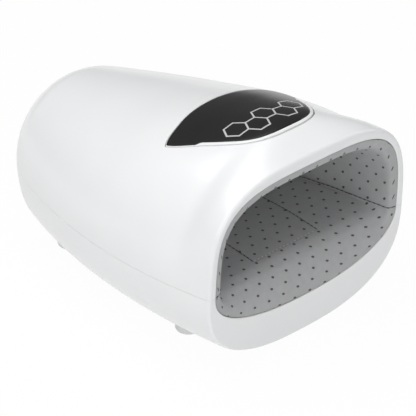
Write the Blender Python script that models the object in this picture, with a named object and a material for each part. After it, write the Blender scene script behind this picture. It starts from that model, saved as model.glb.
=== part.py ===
"""Compression hand massager, modelled as separate solids.

The hand goes in along +Y through the mouth at the front (-Y).  +Z is up, X is
across, and the feet stand on z = 0.  All sizes are in metres.
"""

import math

import bmesh
import bpy
import numpy as np

# Housing, front to back.  Shares run from 0 at the mouth to 1 at the back.
BODY_LENGTH = 0.2086
FRONT_HALF_WIDTH = 0.0808
WIDTH_BOW = 0.0947
BACK_HALF_WIDTH = 0.0554
BODY_HEIGHT = 0.1337
STATION_SHARES = (0.0, 0.14, 0.32, 0.62, 1.0)
TOP_HEIGHT_SHARES = (0.932, 1.0, 0.970, 0.883, 0.764)
TOP_POWERS = (3.27, 2.05, 2.08, 2.03, 2.03)
BOTTOM_FRONT_Z = 0.0035
BOTTOM_BOW_Z = 0.0059
BOTTOM_BACK_Z = 0.0063
BOTTOM_POWER = 2.6
PARTING_FRONT_Z = 0.0576
PARTING_BACK_Z = 0.0526
FRONT_LEAN = -0.048
BACK_LEAN = 0.098
FRONT_ROLL = 0.0028
FRONT_ROLL_SHARES = (0.3, 0.7)
BACK_ROLL = 0.0187
BACK_ROLL_TURNS = (25.0, 50.0, 72.0, 90.0)
BACK_ROLL_SIDE_SHARE = 0.56
BACK_ROLL_TOP_SHARE = 0.78
BACK_DOME = 0.0030
DOME_SHRINKS = (0.7, 0.4)
WALL = 0.0025
INNER_ROLL_SHARE = 0.3
CHIN_SHARPNESS = 0.65
GAP = 0.0003

# Mouth of the housing, by the rim of plastic that is left round it
MOUTH_SIDE_RIM = 0.0056
MOUTH_TOP_RIM = 0.0074
CHIN_HEIGHT = 0.0241
MOUTH_HALF_WIDTH = FRONT_HALF_WIDTH - MOUTH_SIDE_RIM
MOUTH_TOP_Z = BODY_HEIGHT * TOP_HEIGHT_SHARES[0] - MOUTH_TOP_RIM
MOUTH_BOTTOM_Z = BOTTOM_FRONT_Z + CHIN_HEIGHT
MOUTH_TOP_POWER = 3.75
MOUTH_BOTTOM_POWER = 2.28
MOUTH_ROLL = 0.0008
MOUTH_ROLL_SHARE = 0.3

# Fabric lining, by depth behind the mouth.  It ends in front of the pump.
LINING_BACK_ROOM = 0.0466
LINING_DEPTH = BODY_LENGTH - LINING_BACK_ROOM
LINING_START = 0.0006
LINING_SEAM_Z = PARTING_FRONT_Z
LINING_HALF_WIDTH = MOUTH_HALF_WIDTH - GAP
LINING_RISE = MOUTH_TOP_Z - GAP - LINING_SEAM_Z
LINING_DROP = LINING_SEAM_Z - MOUTH_BOTTOM_Z - GAP
LINING_THICKNESS = 0.0015
LINING_DEPTH_SHARES = (
    0.0, 0.0012, 0.0037, 0.0086, 0.021, 0.058, 0.114, 0.169, 0.243, 0.379, 0.552, 0.737, 0.891, 0.972
)
LINING_WIDTH_SHARES = (
    1.0, 0.988, 0.961, 0.938, 0.927, 0.917, 0.900, 0.886, 0.866, 0.811, 0.743, 0.664, 0.572, 0.455
)
LINING_TOP_SHARES = (
    1.0, 0.985, 0.951, 0.914, 0.895, 0.888, 0.878, 0.866, 0.841, 0.782, 0.681, 0.555, 0.421, 0.303
)
LINING_FLOOR_SHARES = (
    1.0, 0.929, 0.845, 0.754, 0.599, 0.323, 0.128, 0.105, 0.105, 0.105, 0.105, 0.105, 0.105, 0.070
)
LINING_POWERS = (3.75, 3.75, 3.75, 3.7, 3.6, 3.4, 3.2, 3.0, 2.9, 2.8, 2.6, 2.5, 2.4, 2.3)
LINING_FLOOR_POWERS = (2.28, 2.28, 2.3, 2.35, 2.5, 2.9, 3.6, 4.0, 4.0, 4.0, 4.0, 4.0, 4.0, 3.5)
LINING_LEAN_DEPTH = 0.0400
LINING_LIP_RINGS = 4
LINING_END_BULGE = 0.0020
LINING_END_SHARE = 0.6
LINING_POINTS = 40
CLAMP_DEPTH = 0.0030
CLAMP_INNER = 0.0022
CLAMP_OUTER = 0.0009

# Layers over and under the hand, thicknesses from the fabric outwards and ends as
# shares of the lining's depth
UPPER_CELL_THICKNESS = 0.0024
LAYER_GAP = 0.0008
SHELL_THICKNESS = 0.0020
HEATER_THICKNESS = 0.0008
BUMP_HEIGHT = 0.0018
BUMP_RADIUS = 0.0034
BUMP_PITCH = 0.0120
BUMP_SHOULDER = math.radians(45.0)
BUMP_PLATE_THICKNESS = 0.0022
LOWER_CELL_THICKNESS = 0.0052
TRAY_THICKNESS = 0.0022
TRAY_MARGIN = 0.0084
PATCH_HALF_WIDTH = 0.0270
PATCH_SHARES = (0.155, 0.605)
CELL_SHARES = (0.185, 0.889)
TRAY_SHARES = (0.167, 0.951)
SHELL_FRONT_SHARE = 0.179
CELL_CHAMBERS = 3
CELL_SEAM_SHARE = 0.45
CELL_ROUNDING = 0.5
CELL_EDGE_POWER = 4.0
CELL_START_ANGLE = 12.0
CELL_SIDE_MARGIN = 0.0040

# Control panel
PANEL_HALF_WIDTH = 0.0450
PANEL_FRONT_DEPTH = 0.0176
PANEL_LENGTH = 0.0635
PANEL_X_SHARES = (0.0, 0.38, 0.69, 0.91, 1.0, 0.98, 0.88, 0.77, 0.60, 0.42, 0.20, 0.0)
PANEL_Y_SHARES = (0.0, 0.016, 0.063, 0.106, 0.157, 0.244, 0.449, 0.654, 0.866, 0.961, 0.995, 1.0)
PANEL_FRONT_RIM = 0.0022
PANEL_BACK_RIM = 0.0008
PANEL_RIM_EDGE_SHARE = 0.3
PANEL_JOG_DEPTH = 0.0520
PANEL_JOG_LENGTH = 0.0030
PANEL_FLANGE = 0.0025
PANEL_PROUD = 0.0004
LENS_THICKNESS = 0.0018
FLANGE_GAP = 0.0008
LEDGE = 0.0010
BOARD_THICKNESS = 0.0016

# Feet and screw columns.  Feet stand at shares of the half width and of the length.
FOOT_RADIUS = 0.0080
FOOT_EDGE = 0.0020
FOOT_PLACE_SHARES = {"front": (0.538, 0.255), "rear": (0.486, 0.8345)}
COLUMN_RADIUS = 0.0040
TRAY_COLUMN_INSET = 0.0150
TRAY_COLUMN_SHARE = 0.1585
CASE_COLUMN_INSET = 0.0115
CASE_COLUMN_SHARES = (0.559, 0.8465)

# Air pump, lying across the back
PUMP_BACK_ROOM = 0.0272
PUMP_Z = 0.0320
MOTOR_RADIUS = 0.0122
MOTOR_LENGTH = 0.0308
MOTOR_OFFSET = 0.0360
MOTOR_BOSS_RADIUS = 0.0040
MOTOR_BOSS_LENGTH = 0.0016
SHAFT_RADIUS = 0.0010
SHAFT_CLEARANCE = 0.0003
SHAFT_SEAT = 0.0055
CRANK_GAP = 0.0010
YOKE_GAP = 0.0010
SOCKET_PLAY = 0.0006
CAP_EDGE = 0.0010
PUMP_RADIUS = 0.0135
PUMP_WALL = 0.0015
PUMP_BASE_LENGTH = 0.0140
CRANK_RADIUS = 0.0050
CRANK_LENGTH = 0.0036
CRANK_PIN_RADIUS = 0.0008
CRANK_THROW = 0.0026
CRANK_PIN_LENGTH = 0.0024
YOKE_RADIUS = 0.0095
YOKE_THICKNESS = 0.0016
YOKE_SOCKET = 0.0040
YOKE_SOCKET_WALL = 0.0012
DIAPHRAGM_THICKNESS = 0.0012
STEM_RADIUS = 0.0016
CAP_LENGTH = 0.0080
NOZZLE_RADIUS = 0.0019
NOZZLE_LENGTH = 0.0060
CRADLE_WALL = 0.0030
CRADLE_SIDE = 0.0012
CRADLE_SHARES = (0.45, 0.90)
CRADLE_ARC = (math.radians(189.0), math.radians(351.0))
CRADLE_POINTS = 19

# Valves, manifold and hoses
MANIFOLD_HALF_LENGTH = 0.0260
MANIFOLD_WIDTH = 0.0200
MANIFOLD_HEIGHT = 0.0075
MANIFOLD_BASE_Z = 0.0125
MANIFOLD_PUMP_SPACING = 0.0428
MANIFOLD_POST_SHARE = 0.6
VALVE_X = 0.0140
VALVE_RADIUS = 0.0080
VALVE_HEIGHT = 0.0145
VALVE_FLOOR = 0.0020
PLUNGER_RADIUS = 0.0025
PLUNGER_EDGE = 0.0005
PLUNGER_LENGTH = 0.0136
HOSE_RADIUS = 0.0020
HOSE_GAP = 0.0004
HOSE_LEAD = 0.0040
HOSE_PORT_X = 0.0040

# Battery, circuit board and charging socket.  The battery and the board lie between
# the front wall and the manifold, at a share of the free length.
BATTERY_SIZE = (0.0370, 0.0655, 0.0185)
BATTERY_OFFSET = 0.0180
BATTERY_BASE_Z = 0.0165
BATTERY_PLACE_SHARE = 0.66
BATTERY_END_SHARES = ((0.0, 0.92), (0.015, 1.0), (0.985, 1.0), (1.0, 0.92))
BATTERY_POINTS = 32
BATTERY_TRAY_WALL = 0.0014
BATTERY_TRAY_HEIGHT = 0.0100
BOARD_SIZE = (0.0350, 0.0640, 0.0016)
BOARD_OFFSET = 0.0215
BOARD_BASE_Z = 0.0160
BOARD_POST_SHARE = 0.2
SOCKET_Z = 0.0330
SOCKET_HALF_WIDTH = 0.0047
SOCKET_HALF_HEIGHT = 0.0018
SOCKET_DEPTH = 0.0072
SOCKET_WALL = 0.0004
SOCKET_RECESS = 0.0006

# Counts and steps of the surfaces
SIDES = (("left", -1), ("right", 1))
RING_POINTS = 56
BODY_STATIONS = 16
INNER_STATIONS = 12
STATION_CROWDING = 1.5
FIRST_INNER_SHARE = 0.12
SHARP_ANGLE = math.radians(38.0)
CUT_MARGIN = 0.0200
DOME_PASSES = 4
PANEL_HALF_POINTS = 22
PLATE_SHRINKS = (0.25, 0.70)
ROUND_SEGMENTS = 24
SMALL_SEGMENTS = 16
BUMP_SEGMENTS = 8
CELL_POINTS = 18
CELL_STATIONS = 13
SHELL_POINTS = 21
TRAY_STATIONS = 9
RIB_END_SHARES = (0.15, 0.85)
SLOT_POINTS = 16


def clear_scene():
    """Remove every object, so the script can run again in the same session."""
    for item in list(bpy.data.objects):
        bpy.data.objects.remove(item, do_unlink=True)


def finish(name, colour, roughness, metallic=0.0):
    """A plain material."""
    material = bpy.data.materials.new(name)
    material.use_nodes = True
    shader = material.node_tree.nodes["Principled BSDF"]
    shader.inputs["Base Color"].default_value = (*colour, 1.0)
    shader.inputs["Roughness"].default_value = roughness
    shader.inputs["Metallic"].default_value = metallic
    return material


def solid(name, vertices, faces, material=None, smooth=True):
    """Mesh object from points and faces, with its faces turned outwards."""
    shape = bmesh.new()
    corners = [shape.verts.new(point) for point in vertices]
    for face in faces:
        shape.faces.new([corners[index] for index in face])
    bmesh.ops.recalc_face_normals(shape, faces=shape.faces)
    mesh = bpy.data.meshes.new(name)
    shape.to_mesh(mesh)
    shape.free()
    if smooth:
        mesh.shade_smooth()
        mesh.set_sharp_from_angle(angle=SHARP_ANGLE)
    item = bpy.data.objects.new(name, mesh)
    bpy.context.scene.collection.objects.link(item)
    if material:
        mesh.materials.append(material)
    return item


def guide(item):
    """Hide an object that only shapes another one."""
    item.hide_render = True
    item.display_type = "WIRE"
    return item


def shaped_by(item, other, operation):
    """Boolean modifier on item."""
    modifier = item.modifiers.new(other.name, "BOOLEAN")
    modifier.operation = operation
    modifier.solver = "EXACT"
    modifier.object = other


def joined_shapes(shapes):
    """One list of points and faces from several."""
    vertices = []
    faces = []
    for points, polygons in shapes:
        first = len(vertices)
        vertices.extend(points)
        faces.extend([tuple(index + first for index in polygon) for polygon in polygons])
    return vertices, faces


def lofted(rings, wrap=False):
    """Closed rings joined in order.  Ends are capped, or meet when wrap is set."""
    count = len(rings[0])
    vertices = [tuple(point) for ring in rings for point in ring]
    faces = []
    bands = len(rings) if wrap else len(rings) - 1
    for band in range(bands):
        low = band * count
        high = (band + 1) % len(rings) * count
        for step in range(count):
            after = (step + 1) % count
            faces.append((low + step, low + after, high + after, high + step))
    if not wrap:
        faces.append(tuple(range(count)))
        faces.append(tuple(range(len(vertices) - count, len(vertices))))
    return vertices, faces


def turned(profile, centre, axis, segments=ROUND_SEGMENTS):
    """Profile of (radius, distance) pairs turned about an axis through centre.

    A profile whose ends lie on the axis closes there; any other is a closed loop.
    """
    angles = np.linspace(0.0, 2.0 * math.pi, segments, endpoint=False)
    across = {"X": (1, 2), "Y": (2, 0), "Z": (0, 1)}[axis]
    along = "XYZ".index(axis)
    vertices = []
    rows = []
    for radius, distance in profile:
        row = []
        for angle in angles if radius > 0.0 else angles[:1]:
            point = list(centre)
            point[along] += distance
            point[across[0]] += radius * math.cos(angle)
            point[across[1]] += radius * math.sin(angle)
            row.append(len(vertices))
            vertices.append(tuple(point))
        rows.append(row)
    if profile[0][0] > 0.0:
        rows.append(rows[0])
    faces = []
    for low, high in zip(rows, rows[1:]):
        for step in range(segments):
            after = (step + 1) % segments
            near = [low[step % len(low)], low[after % len(low)]]
            far = [high[after % len(high)], high[step % len(high)]]
            faces.append(tuple(dict.fromkeys(near + far)))
    return vertices, faces


def block(low, high):
    """Axis-aligned box between two corners."""
    plan = [(low[0], low[1]), (high[0], low[1]), (high[0], high[1]), (low[0], high[1])]
    return lofted([[(x, y, z) for x, y in plan] for z in (low[2], high[2])])


def column(x, y, low, high, radius=COLUMN_RADIUS, segments=SMALL_SEGMENTS):
    """Upright round column."""
    return turned([(0.0, low), (radius, low), (radius, high), (0.0, high)], (x, y, 0.0), "Z", segments)


def smooth_through(shares, values, at):
    """Smooth curve through hand-chosen values that never overshoots them."""
    shares = np.asarray(shares, float)
    values = np.asarray(values, float)
    at = np.clip(np.asarray(at, float), shares[0], shares[-1])
    steps = np.diff(shares)
    slopes = np.diff(values) / steps
    tangents = np.zeros_like(values)
    same = slopes[:-1] * slopes[1:] > 0.0
    weight_low = 2.0 * steps[1:] + steps[:-1]
    weight_high = steps[1:] + 2.0 * steps[:-1]
    safe_low = np.where(same, slopes[:-1], 1.0)
    safe_high = np.where(same, slopes[1:], 1.0)
    blended = (weight_low + weight_high) / (weight_low / safe_low + weight_high / safe_high)
    tangents[1:-1] = np.where(same, blended, 0.0)
    tangents[0] = slopes[0]
    tangents[-1] = slopes[-1]
    cell = np.clip(np.searchsorted(shares, at, side="right") - 1, 0, len(steps) - 1)
    part = (at - shares[cell]) / steps[cell]
    rise = values[cell + 1] - values[cell]
    start = tangents[cell] * steps[cell]
    stop = tangents[cell + 1] * steps[cell]
    cubic = start + stop - 2.0 * rise
    square = 3.0 * rise - 2.0 * start - stop
    return values[cell] + part * (start + part * (square + part * cubic))


def bowed(start, bow, stop, share):
    """Quadratic curve pulled towards its middle value."""
    return start * (1.0 - share) ** 2 + 2.0 * bow * share * (1.0 - share) + stop * share**2


def rounded_section(angles, half_width, top, bottom, middle, top_power, bottom_power):
    """X and Z of a superellipse whose upper and lower halves differ."""
    cosine = np.cos(angles)
    sine = np.sin(angles)
    sine = np.where(np.abs(sine) < 1e-9, 0.0, sine)
    power = np.where(sine >= 0.0, top_power, bottom_power)
    radius = (np.abs(cosine) ** power + np.abs(sine) ** power) ** (-1.0 / power)
    reach = np.where(sine >= 0.0, top - middle, middle - bottom)
    return half_width * cosine * radius, middle + reach * sine * radius


def top_height(share):
    """Height of the housing's centre line, running on straight past the last station."""
    end_slope = (TOP_HEIGHT_SHARES[-1] - TOP_HEIGHT_SHARES[-2]) / (STATION_SHARES[-1] - STATION_SHARES[-2])
    past_end = np.maximum(share - 1.0, 0.0)
    return BODY_HEIGHT * (smooth_through(STATION_SHARES, TOP_HEIGHT_SHARES, share) + end_slope * past_end)


def front_y():
    """Plane of the mouth at the parting height, set so the whole length is centred."""
    front_tip = FRONT_LEAN * (BODY_HEIGHT * TOP_HEIGHT_SHARES[0] - FRONT_ROLL - PARTING_FRONT_Z)
    back_share = 1.0 + BACK_ROLL / (BODY_LENGTH - BACK_ROLL)
    back_top = top_height(back_share) - BACK_ROLL_TOP_SHARE * BACK_ROLL
    back_tilt = BACK_LEAN * (back_top - PARTING_BACK_Z)
    reach = max(BACK_DOME * (1.0 - shrink**2) + back_tilt * shrink for shrink in DOME_SHRINKS)
    return -(front_tip + BODY_LENGTH + reach) / 2.0


FRONT_Y = front_y()


def parting_height(y):
    """Height of the line between the two covers."""
    share = (y - FRONT_Y) / BODY_LENGTH
    return PARTING_FRONT_Z + (PARTING_BACK_Z - PARTING_FRONT_Z) * share


def body_lean(share):
    """Tilt of a section: forwards at the mouth, backwards at the far end."""
    share = np.minimum(share, 1.0)
    return FRONT_LEAN * (1.0 - share) + BACK_LEAN * share


def station_y(share):
    """Y of a housing section at the parting height."""
    return FRONT_Y + FRONT_ROLL * (1.0 - share) + share * (BODY_LENGTH - BACK_ROLL)


def share_at(y):
    """Share of the housing section that stands at y at the parting height."""
    return (y - FRONT_Y - FRONT_ROLL) / (BODY_LENGTH - BACK_ROLL - FRONT_ROLL)


def half_width_at(share):
    """Half width of the housing at the parting height."""
    return bowed(FRONT_HALF_WIDTH, WIDTH_BOW, BACK_HALF_WIDTH, share)


def housing_ring(angles, share, inset=0.0, shift=0.0, shrink=1.0, seam=0.0, roll=0.0):
    """Section of the housing, inset from its outside, shifted along Y and drawn in by the back roll."""
    y = station_y(share) + shift
    middle = parting_height(y) + seam
    top = top_height(share) - inset - BACK_ROLL_TOP_SHARE * roll
    bottom = bowed(BOTTOM_FRONT_Z, BOTTOM_BOW_Z, BOTTOM_BACK_Z, share) + inset + roll
    half_width = half_width_at(share) - inset - BACK_ROLL_SIDE_SHARE * roll
    top_power = smooth_through(STATION_SHARES, TOP_POWERS, share)
    lean = body_lean(share)
    x, z = rounded_section(
        angles,
        shrink * half_width,
        middle + shrink * (top - middle),
        middle - shrink * (middle - bottom),
        middle,
        top_power,
        BOTTOM_POWER,
    )
    return np.stack([x, y + lean * (z - middle), z], axis=-1)


def front_roll(angles):
    """Rounding of the front edge, wide over the top and tight under the chin."""
    return FRONT_ROLL * (1.0 - CHIN_SHARPNESS * (1.0 - np.sin(angles)) / 2.0)


def mouth_ring(angles, grow, depth, seam=0.0):
    """Edge of the mouth opening."""
    middle = PARTING_FRONT_Z + seam + (PARTING_BACK_Z - PARTING_FRONT_Z) * depth / BODY_LENGTH
    x, z = rounded_section(
        angles,
        MOUTH_HALF_WIDTH + grow,
        MOUTH_TOP_Z + grow,
        MOUTH_BOTTOM_Z - grow,
        middle,
        MOUTH_TOP_POWER,
        MOUTH_BOTTOM_POWER,
    )
    return np.stack([x, FRONT_Y + depth + FRONT_LEAN * (z - middle), z], axis=-1)


def back_rings(angles, inset, radius, seam):
    """Rounded back edge and domed back face, ending in one point."""
    rings = []
    share_per_length = 1.0 / (station_y(1.0) - station_y(0.0))
    for turn in BACK_ROLL_TURNS:
        turn = math.radians(turn)
        share = 1.0 + radius * math.sin(turn) * share_per_length
        rings.append(housing_ring(angles, share, inset, seam=seam, roll=radius * (1.0 - math.cos(turn))))
    for shrink in DOME_SHRINKS:
        dome = BACK_DOME * (1.0 - shrink**2)
        rings.append(housing_ring(angles, share, inset, dome, shrink, seam, radius))
    y = station_y(1.0) + radius + BACK_DOME
    rings.append(np.array([[0.0, y, parting_height(y) + seam]]))
    return rings


def outside_rings(angles, seam=0.0, inset=0.0):
    """Outside of the housing from the front edge to the back point."""
    roll = front_roll(angles)
    inset_share, shift_share = FRONT_ROLL_SHARES
    rings = [
        housing_ring(angles, 0.0, inset + roll, -FRONT_ROLL, seam=seam),
        housing_ring(angles, 0.0, inset + inset_share * roll, -shift_share * FRONT_ROLL, seam=seam),
    ]
    for share in np.linspace(0.0, 1.0, BODY_STATIONS) ** STATION_CROWDING:
        rings.append(housing_ring(angles, share, inset, seam=seam))
    return rings + back_rings(angles, inset, BACK_ROLL, seam)


def inside_rings(angles, seam):
    """Inside of the housing from the front wall to the back point."""
    edge = WALL + INNER_ROLL_SHARE * front_roll(angles)
    rings = [housing_ring(angles, 0.0, edge, WALL - FRONT_ROLL, seam=seam)]
    for share in np.linspace(FIRST_INNER_SHARE, 1.0, INNER_STATIONS) ** STATION_CROWDING:
        rings.append(housing_ring(angles, share, WALL, seam=seam))
    return rings + back_rings(angles, WALL, BACK_ROLL - WALL, seam)


def half_shell(name, angles, seam, material):
    """One cover: outside, front lip, mouth edge and inside as a single skin."""
    outside = outside_rings(angles, seam)
    lip = [
        mouth_ring(angles, MOUTH_ROLL, 0.0, seam),
        mouth_ring(angles, MOUTH_ROLL_SHARE * MOUTH_ROLL, MOUTH_ROLL_SHARE * MOUTH_ROLL, seam),
        mouth_ring(angles, 0.0, MOUTH_ROLL, seam),
        mouth_ring(angles, 0.0, WALL, seam),
    ]
    rings = outside[::-1] + lip + inside_rings(angles, seam)
    vertices = []
    rows = []
    for ring in rings:
        rows.append(range(len(vertices), len(vertices) + len(ring)))
        vertices.extend(tuple(point) for point in ring)
    faces = []
    for low, high in zip(rows, rows[1:]):
        for step in range(len(angles) - 1):
            corners = [
                low[min(step, len(low) - 1)],
                low[min(step + 1, len(low) - 1)],
                high[min(step + 1, len(high) - 1)],
                high[min(step, len(high) - 1)],
            ]
            faces.append(tuple(dict.fromkeys(corners)))
    first_edge = [row[0] for row in rows]
    last_edge = [row[-1] for row in rows[1:-1]]
    faces.append(tuple(first_edge + last_edge[::-1]))
    return solid(name, vertices, faces, material)


def cover_shell(top_cover, material):
    """Upper or lower cover before its openings and bosses."""
    if top_cover:
        angles = np.linspace(0.0, math.pi, RING_POINTS // 2 + 1)
        return half_shell("top_cover", angles, GAP / 2.0, material)
    angles = np.linspace(math.pi, 2.0 * math.pi, RING_POINTS // 2 + 1)
    return half_shell("bottom_cover", angles, -GAP / 2.0, material)


def housing_core(inset):
    """Closed volume of the housing, inset a little, that trims bosses to its walls."""
    angles = np.linspace(0.0, 2.0 * math.pi, RING_POINTS, endpoint=False)
    rings = outside_rings(angles, inset=inset)[:-1]
    return lofted(rings)


def dome_height(x, y, inset=0.0):
    """Height of the housing's top over a plan point."""
    x = np.asarray(x, float)
    y = np.asarray(y, float)
    z = np.full_like(x, BODY_HEIGHT)
    for _ in range(DOME_PASSES):
        share = np.clip(share_at(y), 0.0, 1.0)
        base_y = y - body_lean(share) * (z - parting_height(y))
        share = np.clip(share_at(base_y), 0.0, 1.0)
        middle = parting_height(base_y)
        top = top_height(share) - inset
        power = smooth_through(STATION_SHARES, TOP_POWERS, share)
        half_width = half_width_at(share) - inset
        side = np.minimum(np.abs(x) / half_width, 1.0)
        z = middle + (top - middle) * (1.0 - side**power) ** (1.0 / power)
    return z


def panel_front():
    """Y of the control panel's front point."""
    return FRONT_Y + PANEL_FRONT_DEPTH


def rim_width(y):
    """Width of the panel's rim: thin round the back, wide from the jog forwards."""
    forward = np.clip((FRONT_Y + PANEL_JOG_DEPTH - y) / PANEL_JOG_LENGTH, 0.0, 1.0)
    return PANEL_BACK_RIM + (PANEL_FRONT_RIM - PANEL_BACK_RIM) * forward


def panel_outline(inset=0.0, rim_share=0.0, shrink=1.0):
    """Plan outline of the control panel, offset inwards or drawn in to its middle.

    The offset is inset plus rim_share of the rim's width at each point.
    """
    turn = np.linspace(0.0, len(PANEL_X_SHARES) - 1, PANEL_HALF_POINTS + 1)
    knots = np.arange(len(PANEL_X_SHARES))
    half_x = PANEL_HALF_WIDTH * smooth_through(knots, PANEL_X_SHARES, turn)
    half_y = panel_front() + PANEL_LENGTH * (1.0 - smooth_through(knots, PANEL_Y_SHARES, turn))
    x = np.concatenate([half_x, -half_x[-2:0:-1]])
    y = np.concatenate([half_y, half_y[-2:0:-1]])
    along_x = np.roll(x, -1) - np.roll(x, 1)
    along_y = np.roll(y, -1) - np.roll(y, 1)
    length = np.hypot(along_x, along_y)
    offset = inset + rim_share * rim_width(y)
    x = x + offset * along_y / length
    y = y - offset * along_x / length
    middle_y = panel_front() + PANEL_LENGTH / 2.0
    return x * shrink, middle_y + (y - middle_y) * shrink


def panel_loop(inset, height, rim_share=0.0, under=False, shrink=1.0):
    """Panel outline laid on the top cover, or under it, at a height from its skin."""
    x, y = panel_outline(inset, rim_share, shrink)
    skin = dome_height(x, y, WALL) if under else dome_height(x, y)
    return np.stack([x, y, skin + height], axis=-1)


def panel_frame(material):
    """White rim that holds the lens, with a flange under the cover."""
    flange_top = -FLANGE_GAP
    flange_bottom = -FLANGE_GAP - LENS_THICKNESS
    seat = -LENS_THICKNESS - GAP
    edge = PANEL_RIM_EDGE_SHARE
    rings = [
        panel_loop(-PANEL_FLANGE, flange_bottom, under=True),
        panel_loop(-PANEL_FLANGE, flange_top, under=True),
        panel_loop(GAP, flange_top, under=True),
        panel_loop(GAP, 0.0),
        panel_loop(GAP * (1.0 - edge), PANEL_PROUD, edge),
        panel_loop(GAP * edge, PANEL_PROUD, 1.0 - edge),
        panel_loop(0.0, PANEL_PROUD - GAP, 1.0),
        panel_loop(0.0, seat, 1.0),
        panel_loop(LEDGE, seat, 1.0),
        panel_loop(LEDGE, flange_bottom, 1.0, under=True),
    ]
    vertices, faces = lofted(rings, wrap=True)
    return solid("panel_frame", vertices, faces, material)


def domed_plate(name, inset, top, bottom, material, edge=0.0):
    """Plate inside the panel's rim that follows the dome of the top cover."""
    rings = [panel_loop(inset + edge, bottom, 1.0, shrink=shrink) for shrink in PLATE_SHRINKS]
    rings.append(panel_loop(inset + edge, bottom, 1.0))
    rings.append(panel_loop(inset, bottom + edge, 1.0))
    rings.append(panel_loop(inset, top - edge, 1.0))
    rings.append(panel_loop(inset + edge, top, 1.0))
    rings.extend(panel_loop(inset + edge, top, 1.0, shrink=shrink) for shrink in PLATE_SHRINKS[::-1])
    vertices, faces = lofted(rings)
    return solid(name, vertices, faces, material)


def lining_y(share):
    """Y at a share of the lining's depth."""
    return FRONT_Y + LINING_START + share * LINING_DEPTH


def lining_values(y):
    """Half width, top, floor and powers of the lining's inside at one Y."""
    share = (y - lining_y(0.0)) / LINING_DEPTH
    half_width = LINING_HALF_WIDTH * smooth_through(LINING_DEPTH_SHARES, LINING_WIDTH_SHARES, share)
    top = LINING_SEAM_Z + LINING_RISE * smooth_through(LINING_DEPTH_SHARES, LINING_TOP_SHARES, share)
    floor = LINING_SEAM_Z - LINING_DROP * smooth_through(LINING_DEPTH_SHARES, LINING_FLOOR_SHARES, share)
    power = smooth_through(LINING_DEPTH_SHARES, LINING_POWERS, share)
    floor_power = smooth_through(LINING_DEPTH_SHARES, LINING_FLOOR_POWERS, share)
    return half_width, top, floor, power, floor_power


def lining_ring(angles, y, outward=0.0, shrink=1.0):
    """Section of the hand space, moved outwards from the fabric's inside."""
    half_width, top, floor, power, floor_power = lining_values(y)
    x, z = rounded_section(
        angles,
        shrink * (half_width + outward),
        LINING_SEAM_Z + shrink * (top + outward - LINING_SEAM_Z),
        LINING_SEAM_Z - shrink * (LINING_SEAM_Z - floor + outward),
        LINING_SEAM_Z,
        power,
        floor_power,
    )
    lean = FRONT_LEAN * np.clip(1.0 - (y - FRONT_Y) / LINING_LEAN_DEPTH, 0.0, 1.0)
    return np.stack([x, y + lean * (z - LINING_SEAM_Z), z], axis=-1)


def lining_sleeve(material):
    """Fabric lining: padded lip, raised floor and closed far end, one skin thick."""
    angles = np.linspace(0.0, 2.0 * math.pi, LINING_POINTS, endpoint=False)
    depths = [lining_y(share) for share in LINING_DEPTH_SHARES]
    inner = [lining_ring(angles, y) for y in depths]
    outer = [lining_ring(angles, y, LINING_THICKNESS) for y in depths[LINING_LIP_RINGS:]]
    far = lining_ring(angles, depths[-1], shrink=LINING_END_SHARE)
    far_inner = far + (0.0, LINING_END_BULGE, 0.0)
    far_outer = far + (0.0, LINING_END_BULGE + LINING_THICKNESS, 0.0)
    rings = [far_inner] + inner[::-1] + outer + [far_outer]
    vertices, faces = lofted(rings)
    return solid("lining_sleeve", vertices, faces, material)


def clamp_ring(material):
    """Ring behind the mouth that clamps the lining's edge to the covers."""
    angles = np.linspace(0.0, 2.0 * math.pi, RING_POINTS, endpoint=False)
    near = WALL + GAP
    far = near + CLAMP_DEPTH
    rings = [
        mouth_ring(angles, -CLAMP_INNER, near),
        mouth_ring(angles, CLAMP_OUTER, near),
        mouth_ring(angles, CLAMP_OUTER, far),
        mouth_ring(angles, -CLAMP_INNER, far),
    ]
    vertices, faces = lofted(rings, wrap=True)
    return solid("clamp_ring", vertices, faces, material)


def chamber_swell(y):
    """How full a bladder is along its length: narrow at the seams between chambers."""
    front, back = cell_ends()
    share = (y - front) / (back - front)
    full = abs(math.sin(math.pi * CELL_CHAMBERS * share)) ** CELL_ROUNDING
    return CELL_SEAM_SHARE + (1.0 - CELL_SEAM_SHARE) * full


def cell_ends():
    """Front and back Y of the bladders."""
    return lining_y(CELL_SHARES[0]), lining_y(CELL_SHARES[1])


def upper_air_cell(material):
    """Bladder arched over the hand, with sewn chambers."""
    spread = math.radians(CELL_START_ANGLE)
    angles = np.linspace(spread, math.pi - spread, CELL_POINTS)
    inner_offset = LINING_THICKNESS + LAYER_GAP
    rings = []
    for y in np.linspace(*cell_ends(), CELL_STATIONS):
        outer_offset = inner_offset + UPPER_CELL_THICKNESS * chamber_swell(y)
        inner = lining_ring(angles, y, inner_offset)
        outer = lining_ring(angles[::-1], y, outer_offset)
        rings.append(np.concatenate([inner, outer]))
    vertices, faces = lofted(rings)
    return solid("upper_air_cell", vertices, faces, material)


def tunnel_shell(material):
    """Rigid arch over the upper bladder, standing on the tray with two side walls."""
    angles = np.linspace(0.0, math.pi, SHELL_POINTS)
    inner_offset = LINING_THICKNESS + UPPER_CELL_THICKNESS + 2.0 * LAYER_GAP
    foot_z = tray_top() + GAP
    rings = []
    for y in np.linspace(lining_y(SHELL_FRONT_SHARE), cell_ends()[1], TRAY_STATIONS):
        inner = lining_ring(angles, y, inner_offset)
        outer = lining_ring(angles, y, inner_offset + SHELL_THICKNESS)
        feet = [inner[-1], outer[-1], outer[0], inner[0]]
        feet = [(point[0], point[1], foot_z) for point in feet]
        rings.append(np.concatenate([inner, feet[:2], outer[::-1], feet[2:]]))
    vertices, faces = lofted(rings)
    return solid("tunnel_shell", vertices, faces, material)


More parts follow.
